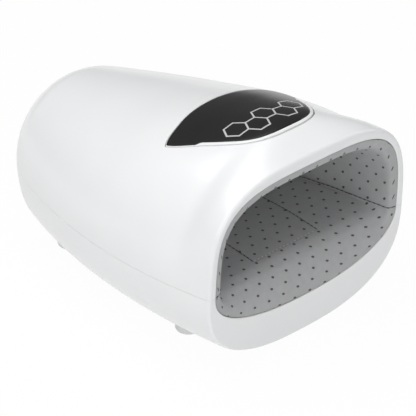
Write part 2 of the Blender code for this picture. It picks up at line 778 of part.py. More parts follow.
def heater_top():
    """Height of the heating film under the fabric floor."""
    return LINING_SEAM_Z - LINING_DROP * LINING_FLOOR_SHARES[-2] - LINING_THICKNESS - GAP


def bump_base():
    """Top of the bump plate's flat part."""
    return heater_top() - HEATER_THICKNESS - GAP - BUMP_HEIGHT


def cell_top():
    """Top of the lower bladder."""
    return bump_base() - BUMP_PLATE_THICKNESS - GAP


def tray_top():
    """Upper face of the tray that carries the layers under the hand."""
    return cell_top() - LOWER_CELL_THICKNESS - GAP


def patch_block(top, thickness):
    """Flat plate under the sewn patch."""
    low = (-PATCH_HALF_WIDTH, lining_y(PATCH_SHARES[0]), top - thickness)
    high = (PATCH_HALF_WIDTH, lining_y(PATCH_SHARES[1]), top)
    return block(low, high)


def heating_pad(material):
    """Heating film under the sewn patch."""
    film = patch_block(heater_top(), HEATER_THICKNESS)
    return solid("heating_pad", *film, material, smooth=False)


def bump_plate(material):
    """Plate with rows of rounded bumps that press through the heating film."""
    plate = solid("bump_plate", *patch_block(bump_base(), BUMP_PLATE_THICKNESS), material)
    root = -BUMP_PLATE_THICKNESS / 2.0
    profile = [(0.0, root), (BUMP_RADIUS, root), (BUMP_RADIUS, 0.0)]
    profile.append((BUMP_RADIUS * math.cos(BUMP_SHOULDER), BUMP_HEIGHT * math.sin(BUMP_SHOULDER)))
    profile.append((0.0, BUMP_HEIGHT))
    front = lining_y(PATCH_SHARES[0])
    back = lining_y(PATCH_SHARES[1])
    columns = int((PATCH_HALF_WIDTH - BUMP_RADIUS) / BUMP_PITCH)
    rows = int((back - front - 2.0 * BUMP_RADIUS) / BUMP_PITCH)
    middle_y = (front + back) / 2.0
    bumps = []
    for across in range(-columns, columns + 1):
        for along in range(rows + 1):
            centre = (across * BUMP_PITCH, middle_y + (along - rows / 2.0) * BUMP_PITCH, bump_base())
            bumps.append(turned(profile, centre, "Z", BUMP_SEGMENTS))
    shaped_by(plate, guide(solid("bump_shapes", *joined_shapes(bumps))), "UNION")
    return plate


def lower_air_cell(material):
    """Flat bladder under the bump plate, with sewn chambers."""
    angles = np.linspace(0.0, 2.0 * math.pi, CELL_POINTS, endpoint=False)
    middle = cell_top() - LOWER_CELL_THICKNESS / 2.0
    rings = []
    power = CELL_EDGE_POWER
    for y in np.linspace(*cell_ends(), CELL_STATIONS):
        half_width = lining_values(y)[0] - CELL_SIDE_MARGIN
        reach = LOWER_CELL_THICKNESS / 2.0 * chamber_swell(y)
        x, z = rounded_section(angles, half_width, middle + reach, middle - reach, middle, power, power)
        rings.append(np.stack([x, np.full_like(x, y), z], axis=-1))
    vertices, faces = lofted(rings)
    return solid("lower_air_cell", vertices, faces, material)


def tray_half_width(y):
    """Half width of the tray, which follows the lining."""
    return lining_values(y)[0] + TRAY_MARGIN


def bed_tray(material):
    """Tray under the hand, as wide as the arch that stands on it."""
    top = tray_top()
    rings = []
    for y in np.linspace(lining_y(TRAY_SHARES[0]), lining_y(TRAY_SHARES[1]), TRAY_STATIONS):
        half_width = tray_half_width(y)
        rings.append([
            (-half_width, y, top - TRAY_THICKNESS),
            (half_width, y, top - TRAY_THICKNESS),
            (half_width, y, top),
            (-half_width, y, top),
        ])
    vertices, faces = lofted(rings)
    return solid("bed_tray", vertices, faces, material, smooth=False)


def foot_place(row):
    """X and Y of a right-hand foot in the front or rear row."""
    width_share, length_share = FOOT_PLACE_SHARES[row]
    y = FRONT_Y + length_share * BODY_LENGTH
    return width_share * half_width_at(share_at(y)), y


def rubber_foot(name, place, side, material):
    """Round rubber foot with a rounded bottom edge, set into its seat."""
    x, y = place
    top = foot_seat(place) - GAP
    profile = [(0.0, 0.0)]
    for turn in np.linspace(0.0, math.pi / 2.0, 3):
        radius = FOOT_RADIUS - FOOT_EDGE * (1.0 - math.sin(turn))
        profile.append((radius, FOOT_EDGE * (1.0 - math.cos(turn))))
    profile += [(FOOT_RADIUS, top), (0.0, top)]
    return solid(name, *turned(profile, (side * x, y, 0.0), "Z"), material)


def bottom_height(x, y):
    """Height of the housing's underside over a plan point."""
    share = share_at(y)
    middle = parting_height(y)
    low = bowed(BOTTOM_FRONT_Z, BOTTOM_BOW_Z, BOTTOM_BACK_Z, share)
    side = abs(x) / half_width_at(share)
    return middle - (middle - low) * (1.0 - side**BOTTOM_POWER) ** (1.0 / BOTTOM_POWER)


def foot_seat(place):
    """Height of the flat seat above a foot."""
    x, y = place
    return bottom_height(x + FOOT_RADIUS, y) + GAP


def tray_columns():
    """Plan places of the columns under the bed tray, on the right-hand side."""
    front = FRONT_Y + TRAY_COLUMN_SHARE * BODY_LENGTH
    rear = manifold_front() + COLUMN_RADIUS
    return [(tray_half_width(y) - TRAY_COLUMN_INSET, y) for y in (front, rear)]


def case_columns():
    """Plan places of the screw columns that join the covers, on the right-hand side."""
    rows = [FRONT_Y + share * BODY_LENGTH for share in CASE_COLUMN_SHARES]
    return [(half_width_at(share_at(y)) - CASE_COLUMN_INSET, y) for y in rows]


def cover_bosses():
    """Columns, ribs and foot seats that belong to the bottom cover."""
    shapes = []
    tray_bottom = tray_top() - TRAY_THICKNESS - GAP
    battery = battery_low()
    board = board_low()
    for _, side in SIDES:
        for x, y in tray_columns():
            shapes.append(column(side * x, y, 0.0, tray_bottom))
        for x, y in case_columns():
            shapes.append(column(side * x, y, 0.0, parting_height(y) - GAP / 2.0))
        for row in FOOT_PLACE_SHARES:
            x, y = foot_place(row)
            top = foot_seat((x, y)) + WALL
            shapes.append(column(side * x, y, 0.0, top, FOOT_RADIUS + WALL, ROUND_SEGMENTS))
        for end in RIB_END_SHARES:
            x = battery[0] + (0.5 + side * 0.25) * BATTERY_SIZE[0]
            y = battery[1] + end * BATTERY_SIZE[1]
            shapes.append(column(x, y, 0.0, battery[2] - BATTERY_TRAY_WALL - 2.0 * GAP))
            x = board[0] + (0.5 + side * BOARD_POST_SHARE) * BOARD_SIZE[0]
            y = board[1] + end * BOARD_SIZE[1]
            shapes.append(column(x, y, 0.0, board[2] - GAP))
        x = side * MANIFOLD_HALF_LENGTH * MANIFOLD_POST_SHARE
        shapes.append(column(x, manifold_y(), 0.0, MANIFOLD_BASE_Z - GAP))
    cradle_x = MOTOR_LENGTH * sum(CRADLE_SHARES) / 2.0 - MOTOR_OFFSET
    cradle_bottom = PUMP_Z - PUMP_RADIUS - CRADLE_WALL - GAP
    shapes.append(column(cradle_x, pump_y(), 0.0, cradle_bottom))
    bosses = guide(solid("boss_shapes", *joined_shapes(shapes)))
    core = guide(solid("housing_core", *housing_core(WALL / 2.0)))
    shaped_by(bosses, core, "INTERSECT")
    return bosses


def cover_cuts():
    """Foot pockets and the charging port, cut from the bottom cover."""
    shapes = []
    radius = FOOT_RADIUS + GAP
    for _, side in SIDES:
        for row in FOOT_PLACE_SHARES:
            x, y = foot_place(row)
            shapes.append(column(side * x, y, -CUT_MARGIN, foot_seat((x, y)), radius, ROUND_SEGMENTS))
    half_width = SOCKET_HALF_WIDTH + GAP
    half_height = SOCKET_HALF_HEIGHT + GAP
    near = rounded_bar(half_width, half_height, back_skin_y() - SOCKET_DEPTH)
    shapes.append(lofted([near, near + (0.0, SOCKET_DEPTH + CUT_MARGIN, 0.0)]))
    return guide(solid("cover_cuts", *joined_shapes(shapes)))


def rounded_bar(half_width, half_height, y):
    """Loop of the charging port: a slot with round ends, in a plane of constant Y."""
    points = []
    straight = half_width - half_height
    for angle in np.linspace(0.0, 2.0 * math.pi, SLOT_POINTS, endpoint=False):
        side = math.copysign(straight, math.cos(angle))
        points.append((side + half_height * math.cos(angle), y, SOCKET_Z + half_height * math.sin(angle)))
    return np.array(points)


def charge_socket(material):
    """Hollow metal charging socket, open to the back."""
    open_end = back_skin_y() - SOCKET_RECESS
    closed_end = open_end - SOCKET_DEPTH
    inner_width = SOCKET_HALF_WIDTH - SOCKET_WALL
    inner_height = SOCKET_HALF_HEIGHT - SOCKET_WALL
    rings = [
        rounded_bar(SOCKET_HALF_WIDTH, SOCKET_HALF_HEIGHT, closed_end),
        rounded_bar(SOCKET_HALF_WIDTH, SOCKET_HALF_HEIGHT, open_end),
        rounded_bar(inner_width, inner_height, open_end),
        rounded_bar(inner_width, inner_height, closed_end + SOCKET_WALL),
    ]
    vertices, faces = lofted(rings)
    return solid("charge_socket", vertices, faces, material)


def back_skin_y():
    """Y of the housing's back face behind the charging socket."""
    y = station_y(1.0) + BACK_ROLL
    return y + BACK_LEAN * (SOCKET_Z - parting_height(y))


def hose(name, points, material):
    """Soft tube swept along a route chosen by hand."""
    curve = bpy.data.curves.new(name, "CURVE")
    curve.dimensions = "3D"
    curve.bevel_depth = HOSE_RADIUS
    curve.bevel_resolution = 1
    curve.resolution_u = 4
    curve.use_fill_caps = True
    spline = curve.splines.new("BEZIER")
    spline.bezier_points.add(len(points) - 1)
    for knot, point in zip(spline.bezier_points, points):
        knot.co = point
        knot.handle_left_type = "AUTO"
        knot.handle_right_type = "AUTO"
    item = bpy.data.objects.new(name, curve)
    bpy.context.scene.collection.objects.link(item)
    curve.materials.append(material)
    return item


def pump_y():
    """Y of the pump's axis, set from the back of the housing."""
    return FRONT_Y + BODY_LENGTH - PUMP_BACK_ROOM


def pump_centre():
    """Front of the motor can on the pump's axis."""
    return (MOTOR_LENGTH - MOTOR_OFFSET, pump_y(), PUMP_Z)


def pump_motor(material):
    """Motor can with its front boss and a blind bore for the shaft."""
    bore = SHAFT_RADIUS + SHAFT_CLEARANCE
    profile = [
        (0.0, -MOTOR_LENGTH),
        (MOTOR_RADIUS, -MOTOR_LENGTH),
        (MOTOR_RADIUS, 0.0),
        (MOTOR_BOSS_RADIUS, 0.0),
        (MOTOR_BOSS_RADIUS, MOTOR_BOSS_LENGTH),
        (bore, MOTOR_BOSS_LENGTH),
        (bore, -SHAFT_SEAT - GAP),
        (0.0, -SHAFT_SEAT - GAP),
    ]
    return solid("pump_motor", *turned(profile, pump_centre(), "X"), material)


def crank_front():
    """Distance of the crank's face from the motor's face."""
    return GAP + PUMP_WALL + CRANK_GAP


def pump_crank(material):
    """Shaft and crank disc with its eccentric pin, turning as one piece."""
    face = crank_front()
    profile = [
        (0.0, -SHAFT_SEAT),
        (SHAFT_RADIUS, -SHAFT_SEAT),
        (SHAFT_RADIUS, face),
        (CRANK_RADIUS, face),
        (CRANK_RADIUS, face + CRANK_LENGTH),
        (0.0, face + CRANK_LENGTH),
    ]
    crank = solid("pump_crank", *turned(profile, pump_centre(), "X"), material)
    x, y, z = pump_centre()
    middle = face + CRANK_LENGTH / 2.0
    end = face + CRANK_LENGTH + CRANK_PIN_LENGTH
    pin_profile = [(0.0, middle), (CRANK_PIN_RADIUS, middle), (CRANK_PIN_RADIUS, end), (0.0, end)]
    pin = solid("crank_pin_shape", *turned(pin_profile, (x, y, z + CRANK_THROW), "X", BUMP_SEGMENTS))
    shaped_by(crank, guide(pin), "UNION")
    return crank


def yoke_face():
    """Distance of the yoke's socket mouth from the motor's face."""
    return crank_front() + CRANK_LENGTH + YOKE_GAP


def pump_yoke(material):
    """Rocking plate whose socket loosely holds the crank pin."""
    face = yoke_face()
    floor = face + CRANK_PIN_LENGTH - YOKE_GAP + SOCKET_PLAY
    back = floor + YOKE_THICKNESS
    rim = YOKE_SOCKET + YOKE_SOCKET_WALL
    profile = [
        (0.0, floor),
        (YOKE_SOCKET, floor),
        (YOKE_SOCKET, face),
        (rim, face),
        (rim, floor),
        (YOKE_RADIUS, floor),
        (YOKE_RADIUS, back),
        (0.0, back),
    ]
    return solid("pump_yoke", *turned(profile, pump_centre(), "X"), material)


def yoke_back():
    """Distance of the yoke's back face from the motor's face."""
    return yoke_face() + CRANK_PIN_LENGTH - YOKE_GAP + SOCKET_PLAY + YOKE_THICKNESS


def pump_base(material):
    """Round can around the crank and the yoke, open to the diaphragm."""
    hole = MOTOR_BOSS_RADIUS + GAP
    bore = PUMP_RADIUS - PUMP_WALL
    profile = [
        (hole, GAP),
        (PUMP_RADIUS, GAP),
        (PUMP_RADIUS, GAP + PUMP_BASE_LENGTH),
        (bore, GAP + PUMP_BASE_LENGTH),
        (bore, GAP + PUMP_WALL),
        (hole, GAP + PUMP_WALL),
    ]
    return solid("pump_base", *turned(profile, pump_centre(), "X"), material)


def pump_diaphragm(material):
    """Rubber disc clamped at its rim, with the stem that meets the yoke."""
    near = PUMP_BASE_LENGTH + 2.0 * GAP
    far = near + DIAPHRAGM_THICKNESS
    tip = yoke_back() + GAP
    profile = [
        (0.0, tip),
        (STEM_RADIUS, tip),
        (STEM_RADIUS, near),
        (PUMP_RADIUS, near),
        (PUMP_RADIUS, far),
        (0.0, far),
    ]
    return solid("pump_diaphragm", *turned(profile, pump_centre(), "X"), material)


def pump_cap(material):
    """Valve cap of the pump with its outlet nozzle."""
    near = PUMP_BASE_LENGTH + DIAPHRAGM_THICKNESS + 3.0 * GAP
    far = near + CAP_LENGTH
    tip = far + NOZZLE_LENGTH
    profile = [
        (0.0, near),
        (PUMP_RADIUS, near),
        (PUMP_RADIUS, far - CAP_EDGE),
        (PUMP_RADIUS - CAP_EDGE, far),
        (NOZZLE_RADIUS, far),
        (NOZZLE_RADIUS, tip),
        (0.0, tip),
    ]
    return solid("pump_cap", *turned(profile, pump_centre(), "X"), material)


def pump_cradle(material):
    """Rubber saddle under the motor."""
    radius = MOTOR_RADIUS + GAP
    half_width = radius + CRADLE_SIDE
    bottom = PUMP_Z - PUMP_RADIUS - CRADLE_WALL
    middle = pump_y()
    arc = np.linspace(*CRADLE_ARC, CRADLE_POINTS)
    rings = []
    for share in CRADLE_SHARES:
        x = share * MOTOR_LENGTH - MOTOR_OFFSET
        inner = [(x, middle + radius * math.cos(turn), PUMP_Z + radius * math.sin(turn)) for turn in arc]
        lip_z = inner[0][2]
        outer = [(x, middle + half_width, lip_z), (x, middle + half_width, bottom)]
        outer += [(x, middle - half_width, bottom), (x, middle - half_width, lip_z)]
        rings.append(inner + outer)
    return solid("pump_cradle", *lofted(rings), material, smooth=False)


def manifold_y():
    """Y of the manifold's middle, set from the pump behind it."""
    return pump_y() - MANIFOLD_PUMP_SPACING


def manifold_front():
    """Y of the manifold's front face."""
    return manifold_y() - MANIFOLD_WIDTH / 2.0


def air_manifold(material):
    """Block that shares the pump's air between the two valves."""
    low = (-MANIFOLD_HALF_LENGTH, manifold_front(), MANIFOLD_BASE_Z)
    high = (MANIFOLD_HALF_LENGTH, manifold_front() + MANIFOLD_WIDTH, MANIFOLD_BASE_Z + MANIFOLD_HEIGHT)
    return solid("air_manifold", *block(low, high), material, smooth=False)


def valve_base(side):
    """Middle of a valve's underside."""
    return (side * VALVE_X, manifold_y(), MANIFOLD_BASE_Z + MANIFOLD_HEIGHT + GAP)


def valve_body(name, side, material):
    """Round coil can with a blind bore for its plunger."""
    bore = PLUNGER_RADIUS + GAP
    profile = [
        (0.0, 0.0),
        (VALVE_RADIUS, 0.0),
        (VALVE_RADIUS, VALVE_HEIGHT),
        (bore, VALVE_HEIGHT),
        (bore, VALVE_FLOOR),
        (0.0, VALVE_FLOOR),
    ]
    return solid(name, *turned(profile, valve_base(side), "Z"), material)


def valve_plunger(name, side, material):
    """Steel plunger that lifts inside the coil."""
    low = VALVE_FLOOR + GAP
    high = low + PLUNGER_LENGTH
    profile = [
        (0.0, low),
        (PLUNGER_RADIUS, low),
        (PLUNGER_RADIUS, high - PLUNGER_EDGE),
        (PLUNGER_RADIUS - PLUNGER_EDGE, high),
        (0.0, high),
    ]
    return solid(name, *turned(profile, valve_base(side), "Z", SMALL_SEGMENTS), material)


def battery_low():
    """Low corner of the battery."""
    front = FRONT_Y + WALL
    free_length = manifold_front() - front - BATTERY_SIZE[1]
    x = -BATTERY_OFFSET - BATTERY_SIZE[0] / 2.0
    return (x, front + BATTERY_PLACE_SHARE * free_length, BATTERY_BASE_Z)


def board_low():
    """Low corner of the main board, level with the battery's middle."""
    middle_y = battery_low()[1] + BATTERY_SIZE[1] / 2.0
    return (BOARD_OFFSET - BOARD_SIZE[0] / 2.0, middle_y - BOARD_SIZE[1] / 2.0, BOARD_BASE_Z)


def battery_tray(material):
    """Open box that holds the battery."""
    low = np.array(battery_low()) - GAP
    high = low + np.array(BATTERY_SIZE) + 2.0 * GAP
    wall = BATTERY_TRAY_WALL
    top = low[2] + BATTERY_TRAY_HEIGHT

    def loop(grow, z):
        return [
            (low[0] - grow, low[1] - grow, z),
            (high[0] + grow, low[1] - grow, z),
            (high[0] + grow, high[1] + grow, z),
            (low[0] - grow, high[1] + grow, z),
        ]

    rings = [loop(wall, low[2] - wall), loop(wall, top), loop(0.0, top), loop(0.0, low[2])]
    return solid("battery_tray", *lofted(rings), material, smooth=False)


def battery_pack(material):
    """Two round cells side by side in one wrap."""
    low = battery_low()
    radius = BATTERY_SIZE[2] / 2.0
    straight = BATTERY_SIZE[0] / 2.0 - radius
    angles = np.linspace(0.0, 2.0 * math.pi, BATTERY_POINTS, endpoint=False) + math.pi / BATTERY_POINTS
    rings = []
    for share, shrink in BATTERY_END_SHARES:
        x = np.copysign(straight, np.cos(angles)) + shrink * radius * np.cos(angles) - BATTERY_OFFSET
        z = low[2] + radius + shrink * radius * np.sin(angles)
        rings.append(np.stack([x, np.full_like(x, low[1] + share * BATTERY_SIZE[1]), z], axis=-1))
    return solid("battery_pack", *lofted(rings), material)


def main_board(material):
    """Control circuit board on its four posts."""
    low = board_low()
    high = [start + size for start, size in zip(low, BOARD_SIZE)]
    return solid("main_board", *block(low, high), material, smooth=False)


def pump_hose(material):
    """Hose from the pump's nozzle down to the back of the manifold."""
    lengths = (GAP, PUMP_BASE_LENGTH, GAP, DIAPHRAGM_THICKNESS, GAP, CAP_LENGTH, NOZZLE_LENGTH, HOSE_GAP)
    nozzle = pump_centre()[0] + sum(lengths)
    port_y = manifold_front() + MANIFOLD_WIDTH + HOSE_GAP
    port_z = MANIFOLD_BASE_Z + MANIFOLD_HEIGHT / 2.0
    hose("pump_hose", [
        (nozzle, pump_y(), PUMP_Z),
        (nozzle + HOSE_LEAD, pump_y(), PUMP_Z),
        (nozzle + 2.0 * HOSE_LEAD, pump_y() - PUMP_RADIUS, (PUMP_Z + port_z) / 2.0),
        (VALVE_X, port_y + 2.0 * HOSE_LEAD, port_z),
        (VALVE_X, port_y, port_z),
    ], material)


def bladder_hoses(material):
    """Hoses from the manifold's ends round the tray to the two bladders."""
    port_y = manifold_y()
    port_z = MANIFOLD_BASE_Z + MANIFOLD_HEIGHT / 2.0
    side_x = MANIFOLD_HALF_LENGTH + HOSE_GAP
    cell_y = cell_ends()[1] + HOSE_GAP
    behind_tray = lining_y(TRAY_SHARES[1]) + 2.0 * HOSE_RADIUS
    behind_lining = lining_y(LINING_DEPTH_SHARES[-1]) + LINING_END_BULGE + LINING_THICKNESS
    behind_lining += HOSE_RADIUS + HOSE_LEAD
    beside_motor = MOTOR_OFFSET + HOSE_RADIUS + HOSE_GAP
    over_motor = PUMP_Z + MOTOR_RADIUS + HOSE_LEAD
    cover = LINING_THICKNESS + UPPER_CELL_THICKNESS
    crown = lining_ring(np.array([math.pi / 2.0]), cell_ends()[1], cover)[0][2]
    lower_z = cell_top() - LOWER_CELL_THICKNESS / 2.0
    hose("upper_hose", [
        (-side_x, port_y, port_z),
        (-side_x - HOSE_LEAD, port_y, port_z),
        (-beside_motor - HOSE_GAP, behind_tray, port_z + 2.0 * HOSE_LEAD),
        (-beside_motor, behind_lining, over_motor),
        (-VALVE_X - 4.0 * HOSE_LEAD, behind_lining, (over_motor + crown) / 2.0),
        (-VALVE_X, behind_lining - HOSE_LEAD, crown),
        (0.0, cell_y + HOSE_LEAD, crown),
        (0.0, cell_y, crown),
    ], material)
    hose("lower_hose", [
        (side_x, port_y, port_z),
        (side_x + HOSE_LEAD, port_y, port_z),
        (side_x + 2.0 * HOSE_LEAD, behind_tray - HOSE_RADIUS, port_z + 2.0 * HOSE_LEAD),
        (VALVE_X + VALVE_RADIUS, behind_tray + HOSE_RADIUS, tray_top() - HOSE_LEAD),
        (HOSE_PORT_X + HOSE_RADIUS, cell_y + 3.0 * HOSE_LEAD, lower_z),
        (HOSE_PORT_X, cell_y + HOSE_LEAD, lower_z),
        (HOSE_PORT_X, cell_y, lower_z),
    ], material)


def build():
    """Make every sub-part."""
    clear_scene()
    white = finish("white_gloss", (0.88, 0.89, 0.90), 0.18)
    black = finish("black_gloss", (0.03, 0.03, 0.03), 0.10)
    fabric = finish("grey_fabric", (0.45, 0.46, 0.48), 0.9)
    rubber = finish("grey_rubber", (0.70, 0.71, 0.72), 0.7)
    inner = finish("inner_plastic", (0.75, 0.75, 0.73), 0.5)
    bladder = finish("bladder_film", (0.20, 0.22, 0.26), 0.6)
    heater = finish("heater_film", (0.75, 0.42, 0.12), 0.5)
    steel = finish("steel", (0.62, 0.63, 0.65), 0.3, 1.0)
    board = finish("circuit_board", (0.05, 0.25, 0.12), 0.5)
    wrap = finish("battery_wrap", (0.10, 0.25, 0.55), 0.4)
    tube = finish("silicone_tube", (0.85, 0.85, 0.82), 0.4)

    top_cover = cover_shell(True, white)
    opening = [panel_loop(0.0, -CUT_MARGIN), panel_loop(0.0, CUT_MARGIN)]
    shaped_by(top_cover, guide(solid("panel_opening", *lofted(opening))), "DIFFERENCE")
    bottom_cover = cover_shell(False, white)
    shaped_by(bottom_cover, cover_bosses(), "UNION")
    shaped_by(bottom_cover, cover_cuts(), "DIFFERENCE")

    panel_frame(white)
    seat = -LENS_THICKNESS
    domed_plate("control_panel", GAP, PANEL_PROUD, seat, black, GAP)
    board_top = seat - 2.0 * GAP
    domed_plate("touch_board", LEDGE + GAP, board_top, board_top - BOARD_THICKNESS, board)

    lining_sleeve(fabric)
    clamp_ring(inner)
    upper_air_cell(bladder)
    tunnel_shell(inner)
    heating_pad(heater)
    bump_plate(inner)
    lower_air_cell(bladder)
    bed_tray(inner)

    pump_motor(steel)
    pump_crank(steel)
    pump_yoke(inner)
    pump_base(inner)
    pump_diaphragm(rubber)
    pump_cap(inner)
    pump_cradle(rubber)
    air_manifold(inner)
    for word, side in SIDES:
        valve_body("valve_body_" + word, side, steel)
        valve_plunger("valve_plunger_" + word, side, steel)
    pump_hose(tube)
    bladder_hoses(tube)

    battery_tray(inner)
    battery_pack(wrap)
    main_board(board)
    charge_socket(steel)
    for word, side in SIDES:
        for row in FOOT_PLACE_SHARES:
            rubber_foot("_".join(("foot", row, word)), foot_place(row), side, rubber)


build()
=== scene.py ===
"""Compression hand massager, dressed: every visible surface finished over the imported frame.

Metres, +Z up, the mouth for the hand towards -Y, feet on z = 0.
"""
import math

import bmesh
import bpy
import numpy as np
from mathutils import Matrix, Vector
from mathutils.bvhtree import BVHTree


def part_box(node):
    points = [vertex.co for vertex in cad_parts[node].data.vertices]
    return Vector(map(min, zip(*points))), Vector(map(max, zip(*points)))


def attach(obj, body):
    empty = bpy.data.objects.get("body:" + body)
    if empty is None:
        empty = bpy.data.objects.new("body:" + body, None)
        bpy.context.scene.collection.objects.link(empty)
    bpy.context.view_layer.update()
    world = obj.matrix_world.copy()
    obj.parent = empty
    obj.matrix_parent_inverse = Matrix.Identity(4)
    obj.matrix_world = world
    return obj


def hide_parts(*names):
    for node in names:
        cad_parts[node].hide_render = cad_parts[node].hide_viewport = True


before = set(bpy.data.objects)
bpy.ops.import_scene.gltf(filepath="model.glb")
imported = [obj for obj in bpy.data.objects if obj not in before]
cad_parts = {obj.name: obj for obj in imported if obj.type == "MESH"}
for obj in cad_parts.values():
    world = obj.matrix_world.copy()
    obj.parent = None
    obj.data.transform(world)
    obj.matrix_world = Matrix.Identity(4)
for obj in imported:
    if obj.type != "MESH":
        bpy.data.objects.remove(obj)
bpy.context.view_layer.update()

# Bottom cover.
# The lower half of the housing, injection moulded in glossy white ABS, with a rolled
# front edge, round pockets for the feet and a slot for the charging socket.
body_length = 0.2086
front_half_width, bowed_half_width, back_half_width = 0.0808, 0.0947, 0.0554
body_height = 0.1337
station_shares = (0.0, 0.14, 0.32, 0.62, 1.0)
crown_shares = (0.932, 1.0, 0.970, 0.883, 0.764)
crown_powers = (3.27, 2.05, 2.08, 2.03, 2.03)
keel_front, keel_bow, keel_back = 0.0035, 0.0059, 0.0063
keel_power = 2.6
parting_front, parting_back = 0.0576, 0.0526
front_lean, back_lean = -0.048, 0.098
front_edge_roll, back_edge_roll = 0.0028, 0.0187
back_side_draw, back_crown_draw = 0.56, 0.78
back_bulge = 0.0030
body_run = body_length - back_edge_roll - front_edge_roll
wall = 0.0025
seam_gap = 0.0003
parting_gap = 0.00014
chin_sharpness = 0.65
front_plane = -0.104623
mouth_half_width, mouth_top, mouth_bottom = 0.0752, 0.117208, 0.0276
mouth_top_power, mouth_bottom_power = 3.75, 2.28
mouth_edge_roll = 0.0008
inner_edge_share, inner_start_share = 0.3, 0.12
front_face_shares = (0.06, 0.5, 0.94)
parting_edge_radius = 0.00012
cover_rows, cover_inner_rows, cover_columns = 96, 30, 132
cover_crowding, cover_inner_crowding = 1.3, 1.5
sharp_angle = 38.0
foot_radius = 0.0080
round_points, slot_points = 96, 48
cut_margin, slot_margin = 0.0100, 0.0020
white_low, white_high = (0.795, 0.805, 0.815, 1.0), (0.835, 0.840, 0.845, 1.0)


def fair_curve(knots, heights, at):
    """Cubic pieces through the knots, with harmonic-mean slopes, so nothing overshoots."""
    knots = np.asarray(knots, float)
    heights = np.asarray(heights, float)
    at = np.clip(np.asarray(at, float), knots[0], knots[-1])
    steps = np.diff(knots)
    slopes = np.diff(heights) / steps
    tangents = np.zeros_like(heights)
    same = slopes[:-1] * slopes[1:] > 0.0
    near = 2.0 * steps[1:] + steps[:-1]
    far = steps[1:] + 2.0 * steps[:-1]
    low = np.where(same, slopes[:-1], 1.0)
    high = np.where(same, slopes[1:], 1.0)
    tangents[1:-1] = np.where(same, (near + far) / (near / low + far / high), 0.0)
    tangents[0] = slopes[0]
    tangents[-1] = slopes[-1]
    cell = np.clip(np.searchsorted(knots, at, side="right") - 1, 0, len(steps) - 1)
    part = (at - knots[cell]) / steps[cell]
    rise = heights[cell + 1] - heights[cell]
    start = tangents[cell] * steps[cell]
    stop = tangents[cell + 1] * steps[cell]
    bend = 3.0 * rise - 2.0 * start - stop
    return heights[cell] + part * (start + part * (bend + part * (start + stop - 2.0 * rise)))


def bow(start, middle, stop, share):
    """Quadratic from start to stop, pulled towards its middle value."""
    return start * (1.0 - share) ** 2 + 2.0 * middle * share * (1.0 - share) + stop * share**2


def oval(angles, half_width, top, bottom, middle, top_power, bottom_power):
    """Section |x/a|^p + |z/b|^p = 1 in polar form, with its own b and p above and below."""
    sine = np.where(np.abs(np.sin(angles)) < 1e-9, 0.0, np.sin(angles))
    cosine = np.cos(angles)
    power = np.where(sine >= 0.0, top_power, bottom_power)
    radius = (np.abs(cosine) ** power + np.abs(sine) ** power) ** (-1.0 / power)
    reach = np.where(sine >= 0.0, top - middle, middle - bottom)
    return half_width * cosine * radius, middle + reach * sine * radius


def parting_height(y):
    """Height of the line between the covers, falling evenly from front to back."""
    return parting_front + (parting_back - parting_front) * (y - front_plane) / body_length


def crown_height(share):
    """Height of the top along the middle, straight on past the last station."""
    slope = (crown_shares[-1] - crown_shares[-2]) / (station_shares[-1] - station_shares[-2])
    past_last = slope * np.maximum(share - 1.0, 0.0)
    return body_height * (fair_curve(station_shares, crown_shares, share) + past_last)


def housing_skin(angles, share, inset=0.0, shift=0.0, shrink=1.0, seam=0.0, roll=0.0):
    """Points of the housing: one oval per share of the length, tilted about the parting line.

    angles is a row; share, shift, shrink and roll are columns, so the result is a grid.
    """
    y = front_plane + front_edge_roll * (1.0 - share) + share * (body_length - back_edge_roll) + shift
    middle = parting_height(y) + seam
    top = crown_height(share) - inset - back_crown_draw * roll
    bottom = bow(keel_front, keel_bow, keel_back, share) + inset + roll
    half_width = bow(front_half_width, bowed_half_width, back_half_width, share)
    half_width = half_width - inset - back_side_draw * roll
    held = np.minimum(share, 1.0)
    lean = front_lean * (1.0 - held) + back_lean * held
    x, z = oval(
        angles,
        shrink * half_width,
        middle + shrink * (top - middle),
        middle - shrink * (middle - bottom),
        middle,
        fair_curve(station_shares, crown_powers, share),
        keel_power,
    )
    return np.stack([x, y + lean * (z - middle), z], axis=-1)


def mouth_edge(angles, grow, depth, seam=0.0):
    """Points of the mouth: an oval grown outwards, at a depth behind the front plane."""
    middle = parting_front + seam + (parting_back - parting_front) * depth / body_length
    x, z = oval(
        angles,
        mouth_half_width + grow,
        mouth_top + grow,
        mouth_bottom - grow,
        middle,
        mouth_top_power,
        mouth_bottom_power,
    )
    return np.stack([x, front_plane + depth + front_lean * (z - middle), z], axis=-1)


def column(values):
    """Values as a column, so that they vary down a grid's rows."""
    return np.asarray(values, float)[:, None]


def quarter_turn(count):
    """Angles from zero to a right angle, both ends included."""
    return np.linspace(0.0, math.pi / 2, count)


